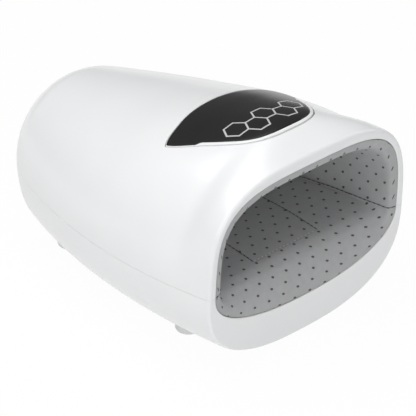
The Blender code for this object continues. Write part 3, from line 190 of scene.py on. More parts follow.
def cover_grid(angles, seam, softened):
    """Rows from the back point over the outside, round the mouth and back along the inside."""
    per_length = 1.0 / body_run

    def back(radius, inset, turns, shrinks):
        """Quarter-circle back edge and domed back face."""
        share = 1.0 + radius * np.sin(column(turns)) * per_length
        roll = radius * (1.0 - np.cos(column(turns)))
        edge = housing_skin(angles, share, inset, seam=seam, roll=roll)
        end = np.full_like(column(shrinks), 1.0 + radius * per_length)
        dome = back_bulge * (1.0 - column(shrinks) ** 2)
        face = housing_skin(angles, end, inset, dome, column(shrinks), seam, radius)
        return np.concatenate([edge, face])

    outer_back = back(back_edge_roll, softened, quarter_turn(20)[1:], np.linspace(1.0, 0.0, 12)[1:])
    shares = column(np.linspace(1.0, 0.0, cover_rows) ** cover_crowding)
    outside = housing_skin(angles, shares, softened, seam=seam)
    turn = column(quarter_turn(9)[1:])
    edge_roll = front_edge_roll * (1.0 - chin_sharpness * (1.0 - np.sin(angles)) / 2.0)
    edge_inset = edge_roll * (1.0 - np.cos(turn)) + softened * np.cos(turn)
    edge = housing_skin(angles, np.zeros_like(turn), edge_inset, -front_edge_roll * np.sin(turn), seam=seam)
    turn = column(quarter_turn(6))
    grown = mouth_edge_roll * (1.0 - np.sin(turn))
    mouth = mouth_edge(angles, grown, mouth_edge_roll * (1.0 - np.cos(turn)), seam)
    part = np.array(front_face_shares)[:, None, None]
    face = edge[-1:] * (1.0 - part) + mouth[:1] * part
    mouth_wall = mouth_edge(angles, column([0.0]), column([wall]), seam)
    inner_inset = wall + inner_edge_share * edge_roll
    inner_face = housing_skin(angles, column([0.0]), inner_inset, wall - front_edge_roll, seam=seam)
    shares = column(np.linspace(inner_start_share, 1.0, cover_inner_rows) ** cover_inner_crowding)
    inside = housing_skin(angles, shares, wall, seam=seam)
    inner_back = back(back_edge_roll - wall, wall, quarter_turn(8)[1:], np.linspace(1.0, 0.0, 6)[1:])
    front = [outer_back[::-1], outside, edge, face, mouth, mouth_wall]
    return np.concatenate(front + [inner_face, inside, inner_back])


def grid_faces(rows, columns, closed=False):
    """Quads between neighbouring points of a grid, joined round when closed."""
    index = np.arange(rows * columns).reshape(rows, columns)
    if closed:
        index = np.hstack([index, index[:, :1]])
    corners = [index[:-1, :-1], index[:-1, 1:], index[1:, 1:], index[1:, :-1]]
    return np.stack(corners, axis=-1).reshape(-1, 4).tolist()


def prism_faces(columns):
    """Sides and both ends of a bar whose outline is given twice."""
    ends = [list(range(columns)), list(range(columns, 2 * columns))]
    return grid_faces(2, columns, True) + ends


def piece(name, points, faces, sharp=sharp_angle, maps=None):
    """Smooth mesh object, doubles merged and faces turned outwards.

    maps holds named UV maps, each with one pair for every corner of every face.
    """
    mesh = bpy.data.meshes.new(name)
    mesh.from_pydata(np.asarray(points).reshape(-1, 3).tolist(), [], faces)
    for label, pairs in (maps or {}).items():
        mesh.uv_layers.new(name=label).data.foreach_set("uv", np.asarray(pairs, np.float32).ravel())
    shape = bmesh.new()
    shape.from_mesh(mesh)
    bmesh.ops.remove_doubles(shape, verts=shape.verts, dist=1e-7)
    bmesh.ops.recalc_face_normals(shape, faces=shape.faces)
    shape.to_mesh(mesh)
    shape.free()
    mesh.shade_smooth()
    mesh.set_sharp_from_angle(angle=math.radians(sharp))
    item = bpy.data.objects.new(name, mesh)
    bpy.context.scene.collection.objects.link(item)
    return item


def cover(name, start, seam):
    """Half shell over angles start to start + 180 degrees, its parting edge softened.

    Close to each parting edge the skin draws in on a quarter circle.
    """
    turn = quarter_turn(5)
    near = parting_edge_radius / (body_height / 2.0) * (1.0 - np.cos(turn))
    drawn = parting_edge_radius * (1.0 - np.sin(turn))
    middle = np.linspace(near[-1], math.pi - near[-1], cover_columns)
    angles = start + np.concatenate([near[:-1], middle, math.pi - near[-2::-1]])
    softened = np.concatenate([drawn[:-1], np.zeros_like(middle), drawn[-2::-1]])
    grid = cover_grid(angles, seam, softened)
    rows, columns = grid.shape[:2]
    index = np.arange(rows * columns).reshape(rows, columns)
    edge = np.concatenate([index[:, 0], index[-2:0:-1, -1]]).tolist()
    return piece(name, grid, grid_faces(rows, columns) + [edge])


def cut(item, cutters):
    """Take closed shapes out of a piece and keep the result as its mesh."""
    for cutter in cutters:
        modifier = item.modifiers.new(cutter.name, "BOOLEAN")
        modifier.operation = "DIFFERENCE"
        modifier.solver = "EXACT"
        modifier.object = cutter
    bpy.context.view_layer.update()
    shaped = bpy.data.meshes.new_from_object(item.evaluated_get(bpy.context.evaluated_depsgraph_get()))
    item.modifiers.clear()
    item.data = shaped
    shaped.shade_smooth()
    shaped.set_sharp_from_angle(angle=math.radians(sharp_angle))
    for cutter in cutters:
        bpy.data.objects.remove(cutter, do_unlink=True)


def round_bar(name, profile, centre):
    """Profile of (radius, height) pairs turned about an upright axis."""
    turn = np.linspace(0.0, 2.0 * math.pi, round_points, endpoint=False)
    radius, height = np.asarray(profile, float).T[:, :, None]
    points = np.stack([radius * np.cos(turn), radius * np.sin(turn), height + 0.0 * turn], axis=-1)
    return piece(name, points + np.asarray(centre), grid_faces(len(profile), round_points, True))


def slot_bar(half_width, half_height, y, middle_z):
    """Round-ended slot outlines, one for every value of y."""
    turn = np.linspace(0.0, 2.0 * math.pi, slot_points, endpoint=False)
    y = column(y)
    half_width = column(half_width)
    half_height = column(half_height)
    x = np.sign(np.cos(turn)) * (half_width - half_height) + half_height * np.cos(turn)
    z = middle_z + half_height * np.sin(turn)
    return np.stack([x, y + 0.0 * turn, z], axis=-1)


def node(tree, kind, inputs=None, **settings):
    """Shader node with its settings, and inputs linked to sockets or set to values."""
    made = tree.nodes.new(kind)
    for label, value in settings.items():
        setattr(made, label, value)
    for label, value in (inputs or {}).items():
        if isinstance(value, bpy.types.NodeSocket):
            tree.links.new(value, made.inputs[label])
        else:
            made.inputs[label].default_value = value
    return made


def maths(tree, operation, *values):
    """Result of one Math node."""
    return node(tree, "ShaderNodeMath", dict(enumerate(values)), operation=operation).outputs[0]


def between(tree, mask, low, high):
    """Value that runs from low to high as the mask runs from 0 to 1."""
    inputs = {"Value": mask, "To Min": low, "To Max": high}
    return node(tree, "ShaderNodeMapRange", inputs).outputs["Result"]


def blend_of(tree, mask, first, second):
    """Colour that runs from first to second as the mask runs from 0 to 1."""
    return node(tree, "ShaderNodeMix", {0: mask, 6: first, 7: second}, data_type="RGBA").outputs[2]


def effect(name, takes, gives):
    """Empty shader node group with named inputs and outputs."""
    tree = bpy.data.node_groups.new(name, "ShaderNodeTree")
    for label, kind in takes:
        tree.interface.new_socket(label, in_out="INPUT", socket_type="NodeSocket" + kind)
    for label, kind in gives:
        tree.interface.new_socket(label, in_out="OUTPUT", socket_type="NodeSocket" + kind)
    return tree, tree.nodes.new("NodeGroupInput").outputs, tree.nodes.new("NodeGroupOutput").inputs


def finish(name, sockets):
    """Material whose constants sit on the shader's own sockets."""
    made = bpy.data.materials.new(name)
    made.use_nodes = True
    shader = made.node_tree.nodes["Principled BSDF"]
    for label, value in sockets.items():
        shader.inputs[label].default_value = value
    return made, made.node_tree, shader.inputs


def noise(tree, place, scale, detail=2.0, distortion=0.0):
    """Value of one noise texture."""
    inputs = {"Vector": place, "Scale": scale, "Detail": detail, "Distortion": distortion}
    return node(tree, "ShaderNodeTexNoise", inputs).outputs[0]


def object_place(tree):
    """Place on the piece, in its own coordinates."""
    return node(tree, "ShaderNodeTexCoord").outputs["Object"]


def paint(tree, shader, mask, low, high):
    """Base colour that runs from low to high as the mask runs from 0 to 1."""
    tree.links.new(blend_of(tree, mask, low, high), shader["Base Color"])


def roughen(tree, shader, mask, roughness):
    """Roughness that runs through its range as the mask runs from 0 to 1."""
    tree.links.new(between(tree, mask, roughness[0], roughness[1]), shader["Roughness"])


def emboss(tree, shader, height, depth):
    """Surface tilted by a relief, depth metres high where height is 1."""
    inputs = {"Height": height, "Distance": depth}
    tree.links.new(node(tree, "ShaderNodeBump", inputs).outputs[0], shader["Normal"])


# Moulded surface: fine ripple of a polished or textured tool, and a slow drift of tone.
moulded_surface, given, wanted = effect(
    "moulded_surface", [("Place", "Vector"), ("Grain", "Float")], [("Height", "Float"), ("Tone", "Float")]
)
ripple = noise(moulded_surface, given["Place"], given["Grain"], detail=3.0)
drift = noise(moulded_surface, given["Place"], scale=24.0, detail=1.0)
moulded_surface.links.new(ripple, wanted["Height"])
moulded_surface.links.new(drift, wanted["Tone"])


def moulded(name, low, high, roughness, grain, depth, sockets=None):
    """Plastic or rubber: tone drifts between two colours, with a fine moulded ripple."""
    made, tree, shader = finish(name, sockets or {})
    inputs = {"Place": object_place(tree), "Grain": grain}
    surface = node(tree, "ShaderNodeGroup", inputs, node_tree=moulded_surface).outputs
    paint(tree, shader, surface["Tone"], low, high)
    roughen(tree, shader, surface["Tone"], roughness)
    emboss(tree, shader, surface["Height"], depth)
    return made


white_gloss = moulded(
    "white_gloss",
    white_low,
    white_high,
    roughness=(0.29, 0.35),
    grain=520.0,
    depth=0.000012,
    sockets={"Coat Weight": 0.35, "Coat Roughness": 0.18},
)


def wear(item, material):
    """Give a piece its material."""
    item.data.materials.clear()
    item.data.materials.append(material)


def foot_stand(label):
    """Middle of a foot on the table, and the height of its seat."""
    low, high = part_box(label)
    return ((low[0] + high[0]) / 2.0, (low[1] + high[1]) / 2.0, 0.0), high[2]


bottom_cover = cover("bottom_cover_shell", math.pi, -parting_gap / 2.0)
feet = ("foot_front_left", "foot_front_right", "foot_rear_left", "foot_rear_right")
pockets = []
for label in feet:
    middle, seat = foot_stand(label)
    radius = foot_radius + seam_gap
    profile = [(0.0, -cut_margin), (radius, -cut_margin), (radius, seat + seam_gap), (0.0, seat + seam_gap)]
    pockets.append(round_bar("pocket_" + label, profile, middle))
socket_low, socket_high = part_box("charge_socket")
socket_middle = (socket_low[2] + socket_high[2]) / 2.0
socket_half_width = socket_high[0]
socket_half_height = (socket_high[2] - socket_low[2]) / 2.0
slot_grid = slot_bar(
    [socket_half_width + seam_gap] * 2,
    [socket_half_height + seam_gap] * 2,
    [socket_low[1] - slot_margin, socket_high[1] + cut_margin],
    socket_middle,
)
pockets.append(piece("socket_slot", slot_grid, prism_faces(slot_points)))
cut(bottom_cover, pockets)
wear(bottom_cover, white_gloss)
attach(bottom_cover, "housing")
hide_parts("bottom_cover")

# Feet.
# Four round pads of white silicone rubber pressed into the pockets under the bottom
# cover; the edge that meets the table is well rounded and the face is slightly hollow.
foot_edge = 0.0026
foot_hollow, hollow_slope = 0.0004, 0.0006
foot_low, foot_high = (0.76, 0.765, 0.77, 1.0), (0.82, 0.825, 0.83, 1.0)
foot_rubber = moulded("foot_rubber", foot_low, foot_high, roughness=(0.55, 0.7), grain=2600.0, depth=0.00003)
for label in feet:
    middle, seat = foot_stand(label)
    turn = quarter_turn(9)
    flat = foot_radius - foot_edge
    outline = [(0.0, foot_hollow), (flat - 2.0 * hollow_slope, foot_hollow), (flat - hollow_slope, 0.0)]
    outline += list(zip(foot_radius - foot_edge * (1.0 - np.sin(turn)), foot_edge * (1.0 - np.cos(turn))))
    outline += [(foot_radius, seat), (0.0, seat)]
    foot = round_bar(label + "_pad", outline, middle)
    wear(foot, foot_rubber)
    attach(foot, "housing")
    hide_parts(label)

# Charging socket.
# A drawn steel shell in the back of the bottom cover, with a black plastic tongue that
# carries two rows of gold contacts.
shell_wall, shell_bevel = 0.0004, 0.0001
tongue_half_width, tongue_half_height = 0.0033, 0.00035
tongue_root, tongue_recess = 0.0005, 0.0008
taper_length, taper_width, taper_height = 0.0003, 0.0002, 0.0001
contact_pitch, contact_width = 0.0005, 0.00028
steel_low, steel_high = (0.48, 0.49, 0.51, 1.0), (0.62, 0.63, 0.65, 1.0)
tongue_black, contact_gold = (0.015, 0.015, 0.015, 1.0), (0.80, 0.56, 0.22, 1.0)

# Each step of the shell: how far it opens, how far it is drawn in, and its place along Y.
steps = [
    (0.0, 0.0, socket_low[1]),
    (1.0, 0.0, socket_low[1]),
    (1.0, 0.0, socket_high[1] - shell_bevel),
    (1.0, shell_bevel, socket_high[1]),
    (1.0, shell_wall, socket_high[1]),
    (1.0, shell_wall, socket_low[1] + shell_wall),
    (0.0, shell_wall, socket_low[1] + shell_wall),
]
opened, drawn_in, shell_y = np.array(steps).T
shell_widths = opened * (socket_half_width - drawn_in)
shell_heights = opened * (socket_half_height - drawn_in)
shell_grid = slot_bar(shell_widths, shell_heights, shell_y, socket_middle)
socket_shell = piece("socket_shell", shell_grid, grid_faces(len(steps), slot_points, True))
tongue_back, tongue_front = socket_low[1] + tongue_root, socket_high[1] - tongue_recess
tongue_grid = slot_bar(
    [0.0, tongue_half_width, tongue_half_width, tongue_half_width - taper_width, 0.0],
    [0.0, tongue_half_height, tongue_half_height, tongue_half_height - taper_height, 0.0],
    [tongue_back, tongue_back, tongue_front - taper_length, tongue_front, tongue_front],
    socket_middle,
)
tongue = piece("socket_tongue", tongue_grid, grid_faces(len(tongue_grid), slot_points, True))

# Brushed metal: hair lines drawn out along one direction, and faint stains.
brushed_metal, given, wanted = effect(
    "brushed_metal", [("Place", "Vector"), ("Stretch", "Vector")], [("Height", "Float"), ("Tone", "Float")]
)
inputs = {0: given["Place"], 1: given["Stretch"]}
stretched = node(brushed_metal, "ShaderNodeVectorMath", inputs, operation="MULTIPLY").outputs[0]
hairs = noise(brushed_metal, stretched, scale=1.0, detail=4.0)
stains = noise(brushed_metal, given["Place"], scale=60.0)
brushed_metal.links.new(hairs, wanted["Height"])
brushed_metal.links.new(stains, wanted["Tone"])


def metal(name, roughness, stretch):
    """Drawn or turned steel, its hair lines along the direction that is stretched least."""
    made, tree, shader = finish(name, {"Metallic": 1.0})
    inputs = {"Place": object_place(tree), "Stretch": stretch}
    surface = node(tree, "ShaderNodeGroup", inputs, node_tree=brushed_metal).outputs
    paint(tree, shader, surface["Tone"], steel_low, steel_high)
    roughen(tree, shader, surface["Height"], roughness)
    emboss(tree, shader, surface["Height"], depth=0.00001)
    return made


def parts_of(tree, vector):
    """The three components of a vector."""
    return node(tree, "ShaderNodeSeparateXYZ", {0: vector}).outputs


drawn_steel = metal("drawn_steel", roughness=(0.22, 0.42), stretch=(4000.0, 300.0, 4000.0))
tongue_finish, tree, shader = finish("socket_contacts", {"Roughness": 0.35})
from_edge = maths(tree, "ADD", parts_of(tree, object_place(tree))[0], 1.0)
stripe = maths(tree, "PINGPONG", from_edge, contact_pitch / 2.0)
contact = maths(tree, "LESS_THAN", stripe, contact_width / 2.0)
paint(tree, shader, contact, tongue_black, contact_gold)
tree.links.new(contact, shader["Metallic"])
wear(socket_shell, drawn_steel)
wear(tongue, tongue_finish)
for item in (socket_shell, tongue):
    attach(item, "housing")
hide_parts("charge_socket")


def dress(material, slot, *labels):
    """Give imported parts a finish; their shapes stay as they are."""
    for label in labels:
        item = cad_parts[label]
        for place in item.material_slots:
            place.material = material


# Battery.
# A block of two cells under blue shrink film, lying in a moulded tray on ribs of the
# bottom cover.
plastic_low, plastic_high = (0.60, 0.60, 0.58, 1.0), (0.72, 0.72, 0.70, 1.0)
wrap_low, wrap_high = (0.03, 0.10, 0.32, 1.0), (0.06, 0.17, 0.44, 1.0)
inner_plastic = moulded(
    "inner_plastic", plastic_low, plastic_high, roughness=(0.45, 0.6), grain=1800.0, depth=0.00003
)
battery_wrap, tree, shader = finish("battery_wrap", {"Coat Weight": 0.2})
creases = noise(tree, object_place(tree), scale=180.0, detail=5.0, distortion=0.8)
paint(tree, shader, creases, wrap_low, wrap_high)
roughen(tree, shader, creases, roughness=(0.25, 0.5))
emboss(tree, shader, creases, depth=0.0002)
dress(inner_plastic, "inner_plastic", "battery_tray")
dress(battery_wrap, "battery_wrap", "battery_pack")

# Circuit boards.
# Glass-fibre boards under green lacquer: the main board beside the battery and the touch
# board under the control panel, with copper tracks and tinned pads.
lacquer_bare, lacquer_track = (0.008, 0.075, 0.030, 1.0), (0.020, 0.150, 0.060, 1.0)
tinned = (0.62, 0.60, 0.50, 1.0)
track_bricks = {"Scale": 1.0, "Mortar Size": 0.0003, "Brick Width": 0.0042, "Row Height": 0.0021}
pad_cells = {"Scale": 260.0, "Randomness": 0.35}
pad_size = 0.22
board_lacquer, tree, shader = finish("board_lacquer", {"Coat Weight": 0.5, "Coat Roughness": 0.2})
place = object_place(tree)
tracks = node(tree, "ShaderNodeTexBrick", {"Vector": place, **track_bricks}, offset=0.37).outputs["Fac"]
from_pad = node(tree, "ShaderNodeTexVoronoi", {"Vector": place, **pad_cells}).outputs["Distance"]
pads = maths(tree, "LESS_THAN", from_pad, pad_size)
paint(tree, shader, pads, blend_of(tree, tracks, lacquer_bare, lacquer_track), tinned)
tree.links.new(pads, shader["Metallic"])
roughen(tree, shader, tracks, roughness=(0.32, 0.45))
emboss(tree, shader, maths(tree, "MAXIMUM", tracks, pads), depth=0.00005)
dress(board_lacquer, "circuit_board", "main_board", "touch_board")

# Air pump, valves and hoses.
# A steel-cased motor turns a crank that rocks a plastic yoke against a rubber diaphragm;
# two plunger valves on a manifold send the air through silicone hoses to the bladders.
rubber_low, rubber_high = (0.035, 0.035, 0.037, 1.0), (0.055, 0.055, 0.058, 1.0)
tube_low, tube_high = (0.74, 0.74, 0.71, 1.0), (0.82, 0.82, 0.79, 1.0)
turned_roughness = (0.24, 0.45)
turned_steel = metal("turned_steel", turned_roughness, stretch=(300.0, 5000.0, 5000.0))
upright_steel = metal("upright_steel", turned_roughness, stretch=(5000.0, 5000.0, 300.0))
soft_rubber = moulded(
    "soft_rubber", rubber_low, rubber_high, roughness=(0.6, 0.8), grain=2200.0, depth=0.00004
)
silicone = moulded(
    "silicone_tube",
    tube_low,
    tube_high,
    roughness=(0.30, 0.42),
    grain=900.0,
    depth=0.00003,
    sockets={"Subsurface Weight": 0.1},
)
dress(turned_steel, "steel", "pump_motor", "pump_crank")
dress(inner_plastic, "inner_plastic", "pump_yoke", "pump_base", "pump_cap", "air_manifold")
dress(soft_rubber, "soft_rubber", "pump_diaphragm", "pump_cradle")
dress(upright_steel, "steel", "valve_body_left", "valve_body_right")
dress(upright_steel, "steel", "valve_plunger_left", "valve_plunger_right")
dress(silicone, "silicone_tube", "pump_hose", "upper_hose", "lower_hose")

# Bed under the hand.
# A plastic tray carries the lower bladder, a plate of rounded bumps and the amber heating
# film; a rigid arch with the upper bladder inside stands over them.
bladder_low, bladder_high = (0.10, 0.115, 0.14, 1.0), (0.17, 0.19, 0.23, 1.0)
heater_amber, heater_foil = (0.62, 0.27, 0.05, 1.0), (0.30, 0.27, 0.24, 1.0)
foil_edge = 0.62
bladder_film, tree, shader = finish("bladder_film", {"Coat Weight": 0.25})
folds = noise(tree, object_place(tree), scale=90.0, detail=4.0, distortion=1.2)
paint(tree, shader, folds, bladder_low, bladder_high)
roughen(tree, shader, folds, roughness=(0.35, 0.6))
emboss(tree, shader, folds, depth=0.0005)
heater_film, tree, shader = finish("heater_film", {"Coat Weight": 0.3})
inputs = {"Vector": object_place(tree), "Scale": 70.0, "Distortion": 0.0}
strip = node(tree, "ShaderNodeTexWave", inputs, bands_direction="Y").outputs["Fac"]
foil = maths(tree, "GREATER_THAN", strip, foil_edge)
paint(tree, shader, foil, heater_amber, heater_foil)
tree.links.new(foil, shader["Metallic"])
roughen(tree, shader, strip, roughness=(0.28, 0.42))
dress(bladder_film, "bladder_film", "lower_air_cell", "upper_air_cell")
dress(heater_film, "heater_film", "heating_pad")
dress(inner_plastic, "inner_plastic", "bed_tray", "bump_plate", "tunnel_shell")

# Lining.
# A padded sleeve of light grey woven cloth with printed dots: a lip turned over the mouth,
# an upper and a lower panel sewn together along both sides, and a closed far end.
sleeve_depth = 0.1620
sleeve_half_width, sleeve_rise, sleeve_drop = 0.0749, 0.0593, 0.0297
sleeve_seam = 0.0576
sleeve_start = 0.0006
sleeve_thickness = 0.0015
depth_shares = (
    0.0, 0.0012, 0.0037, 0.0086, 0.021, 0.058, 0.102, 0.169, 0.243, 0.379, 0.552, 0.737, 0.891, 0.972
)
width_shares = (
    1.0, 0.988, 0.961, 0.938, 0.927, 0.917, 0.903, 0.886, 0.866, 0.811, 0.743, 0.664, 0.572, 0.455
)
rise_shares = (
    1.0, 0.985, 0.951, 0.914, 0.895, 0.888, 0.880, 0.866, 0.841, 0.782, 0.681, 0.555, 0.421, 0.303
)
floor_shares = (1.0, 0.929, 0.845, 0.745, 0.560, 0.270, 0.150, 0.106, 0.085) + (0.081,) * 4 + (0.050,)
roof_powers = (3.75, 3.75, 3.75, 3.7, 3.6, 3.4, 3.2, 3.0, 2.9, 2.8, 2.6, 2.5, 2.4, 2.3)
floor_powers = (2.28, 2.28, 2.3, 2.35, 2.5, 2.9, 3.6) + (4.0,) * 6 + (3.5,)
end_bulge = 0.0020
lean_depth = 0.0400
sleeve_around, sleeve_along, sleeve_crowding = 240, 132, 1.8
outer_along, outer_start_share = 14, 0.026
outer_end_shrinks = (0.8, 0.4, 0.0)
blank_around, blank_along, blank_setback, blank_frames = 80, 34, 0.0080, 20
padding_limit = 0.0015
firm_until, swell_run = -0.0950, 0.0450
print_anchor = -0.0760
slope_start, slope_slant, slope_stretch, slope_fan = -0.0120, 0.45, 0.15, 6.0
thread_pitch = 0.00045
upper_print = {"Across": 0.0113, "Along": 0.0060, "Shift": -0.0042, "Start": 0.0003, "Radius": 0.00106}
lower_print = {"Across": 0.01035, "Along": 0.00697, "Shift": 0.0, "Start": 0.00215, "Radius": 0.00106}
dot_core, dot_ink = 0.72, 0.85
patch_half_width, patch_front, patch_back = 0.0266, -0.0858, -0.0060
# Seam lines: their reach and core, and how much painted shade lies on them, strong at the sides and weak at
# the patch's front end.
sewn_edge, sewn_core = 0.0006, 0.0001
seam_shade, patch_end_shade = 0.6, 0.15
weave_relief, sewn_relief, dot_relief = 0.12, -0.8, -0.3
cloth_low, cloth_high = (0.375, 0.38, 0.385, 1.0), (0.45, 0.455, 0.46, 1.0)
# Painted shade for the seam lines, and the ink of the printed dots.
painted_seam_shade, dot_dark = (0.08, 0.08, 0.085, 1.0), (0.045, 0.032, 0.034, 1.0)


def sleeve_skin(angles, y, outward=0.0, shrink=1.0):
    """Points of the sleeve: ovals about the side seams, leaning with the mouth near the front."""
    share = (y - front_plane - sleeve_start) / sleeve_depth
    half_width = sleeve_half_width * fair_curve(depth_shares, width_shares, share) + outward
    rise = sleeve_rise * fair_curve(depth_shares, rise_shares, share) + outward
    drop = sleeve_drop * fair_curve(depth_shares, floor_shares, share) + outward
    x, z = oval(
        angles,
        shrink * half_width,
        sleeve_seam + shrink * rise,
        sleeve_seam - shrink * drop,
        sleeve_seam,
        fair_curve(depth_shares, roof_powers, share),
        fair_curve(depth_shares, floor_powers, share),
    )
    lean = front_lean * np.clip(1.0 - (y - front_plane) / lean_depth, 0.0, 1.0)
    return np.stack([x, y + lean * (z - sleeve_seam), z], axis=-1)


def resampled(values, places):
    """Rows of values at fractional row numbers, by cubic pieces through the rows."""
    places = np.clip(places, 0.0, len(values) - 1.0)
    row = np.minimum(places.astype(int), len(values) - 2)
    part = (places - row)[:, None, None]
    near = [values[np.clip(row + step, 0, len(values) - 1)] for step in (-1, 0, 1, 2)]
    before, first, second, after = near
    bend = 2.0 * before - 5.0 * first + 4.0 * second - after
    twist = 3.0 * (first - second) + after - before
    return first + 0.5 * part * (second - before + part * (bend + part * twist))


def padding_swell(angles, depths):
    """How far the padding pushes each point of the cloth, from a cloth simulation.

    A coarse blank of the sleeve, held at the lip, along both seams and at its end, is
    pressed towards the hand by the padding behind it.
    """
    blank_y = np.linspace(depths[0] + blank_setback, depths[-1], blank_along)
    blank_angles = np.linspace(0.0, 2.0 * math.pi, blank_around, endpoint=False)
    points = sleeve_skin(blank_angles, column(blank_y))
    blank = piece("sleeve_blank", points, grid_faces(blank_along, blank_around, True), sharp=180.0)
    blank.data.flip_normals()
    held = blank.vertex_groups.new(name="held")
    number = np.arange(blank_along * blank_around).reshape(blank_along, blank_around)
    pinned = [number[0], number[-1], number[:, 0], number[:, blank_around // 2]]
    held.add(np.concatenate(pinned).tolist(), 1.0, "REPLACE")
    modifier = blank.modifiers.new("cloth", "CLOTH")
    cloth = modifier.settings
    cloth.vertex_group_mass = "held"
    cloth.quality = 6
    cloth.mass = 0.25
    cloth.tension_stiffness = 8.0
    cloth.compression_stiffness = 8.0
    cloth.shear_stiffness = 3.0
    cloth.bending_stiffness = 0.4
    cloth.effector_weights.gravity = 0.0
    cloth.use_pressure = True
    cloth.uniform_pressure_force = 3.0
    modifier.point_cache.frame_start = 1
    modifier.point_cache.frame_end = blank_frames
    for frame_number in range(1, blank_frames + 1):
        bpy.context.scene.frame_set(frame_number)
    shaped = blank.evaluated_get(bpy.context.evaluated_depsgraph_get()).data
    moved = np.empty(len(shaped.vertices) * 3, np.float32)
    shaped.vertices.foreach_get("co", moved)
    push = moved.reshape(points.shape) - points
    bpy.context.scene.frame_set(1)
    bpy.data.objects.remove(blank, do_unlink=True)
    reach = np.linalg.norm(push, axis=2, keepdims=True)
    push = push * padding_limit / np.sqrt(padding_limit**2 + reach**2)
    # The ring closes: its last three columns are repeated in front and its first four behind.
    turned = np.concatenate([push[:, -3:], push, push[:, :4]], axis=1).transpose(1, 0, 2)
    turned = resampled(turned, 3.0 + angles / (2.0 * math.pi) * blank_around).transpose(1, 0, 2)
    swell = resampled(turned, np.interp(depths, blank_y, np.arange(blank_along)))
    loose = np.clip((depths - firm_until) / swell_run, 0.0, 1.0)
    return swell * (loose * loose * (3.0 - 2.0 * loose))[:, None, None]


angles = np.linspace(0.0, 2.0 * math.pi, sleeve_around, endpoint=False)
start = front_plane + sleeve_start
end = start + sleeve_depth * depth_shares[-1]
inner_y = start + (end - start) * np.linspace(0.0, 1.0, sleeve_along) ** sleeve_crowding
inner_skin = sleeve_skin(angles, column(inner_y))
inner_skin = inner_skin + padding_swell(angles, inner_y)
turn = column(quarter_turn(9)[1:])
cap = sleeve_skin(angles, np.full_like(turn, end), shrink=np.cos(turn))
cap[..., 1] += end_bulge * np.sin(turn)
inner_skin = np.concatenate([inner_skin, cap])
outer_y = column(start + (end - start) * np.linspace(outer_start_share, 1.0, outer_along))
outer_skin = sleeve_skin(angles, outer_y, sleeve_thickness)
shrinks = column(outer_end_shrinks)
outer_cap = sleeve_skin(angles, np.full_like(shrinks, end), sleeve_thickness, shrinks)
outer_cap[..., 1] += end_bulge + sleeve_thickness
sleeve_grid = np.concatenate([inner_skin[::-1], outer_skin, outer_cap])


def cloth_map(grid, anchor):
    """UV map in metres: across from each panel's middle, and along from the anchor row.

    Over the front slope the lower panel's print runs aslant, fanned and a little stretched.
    """
    count = grid.shape[1]
    ring = np.concatenate([grid, grid[:, :1]], axis=1)
    steps = np.linalg.norm(np.diff(ring, axis=1), axis=2)
    around = np.concatenate([np.zeros((len(grid), 1)), np.cumsum(steps, axis=1)], axis=1)
    steps = np.linalg.norm(np.diff(ring, axis=0), axis=2)
    along = np.concatenate([np.zeros((1, count + 1)), np.cumsum(steps, axis=0)])
    along = along[anchor] - along
    panels = []
    for middle, first, last in ((count // 4, 0, count // 2), (3 * count // 4, count // 2, count)):
        across = around - around[:, middle : middle + 1]
        forward = np.maximum(slope_start - along, 0.0) * (first > 0)
        across = across * (1.0 - slope_fan * forward) - slope_slant * forward
        place = np.stack([across, along - slope_stretch * forward], axis=-1)
        corners = [place[:-1, first:last], place[:-1, first + 1 : last + 1]]
        corners += [place[1:, first + 1 : last + 1], place[1:, first:last]]
        panels.append(np.stack(corners, axis=2))
    return np.concatenate(panels, axis=1).reshape(-1, 2)


anchor_row = len(inner_skin) - 1 - int(np.argmin(np.abs(inner_y - print_anchor)))
lining = piece(
    "lining_cloth",
    sleeve_grid,
    grid_faces(len(sleeve_grid), sleeve_around, True),
    sharp=180.0,
    maps={"threads": cloth_map(sleeve_grid, anchor_row)},
)

# Woven cloth: threads that cross over and under one another, as a product of two waves.
woven_cloth, given, wanted = effect(
    "woven_cloth", [("Cloth", "Vector"), ("Thread", "Float")], [("Height", "Float")]
)
split = parts_of(woven_cloth, given["Cloth"])
waves = []
for axis in (0, 1):
    turns = maths(woven_cloth, "DIVIDE", split[axis], given["Thread"])
    waves.append(maths(woven_cloth, "SINE", maths(woven_cloth, "MULTIPLY", turns, math.pi)))
crossing = maths(woven_cloth, "MULTIPLY", waves[0], waves[1])
woven_cloth.links.new(maths(woven_cloth, "ABSOLUTE", crossing), wanted["Height"])


def counted(tree, value, first, pitch):
    """Number of pitches between the first place and a value."""
    return maths(tree, "DIVIDE", maths(tree, "SUBTRACT", value, first), pitch)


def off_middle(tree, value, size):
    """Squared distance from the middle of the cell that a counted value lies in."""
    inside = maths(tree, "SUBTRACT", maths(tree, "FRACT", value), 0.5)
    inside = maths(tree, "MULTIPLY", inside, size)
    return maths(tree, "MULTIPLY", inside, inside)


def edge_mask(tree, value, outer, inner, shape="SMOOTHSTEP"):
    """Mask that is 0 where a value is past outer and rises to 1 where it reaches inner."""
    inputs = {"Value": value, "From Min": outer, "From Max": inner}
    return node(tree, "ShaderNodeMapRange", inputs, interpolation_type=shape).outputs["Result"]


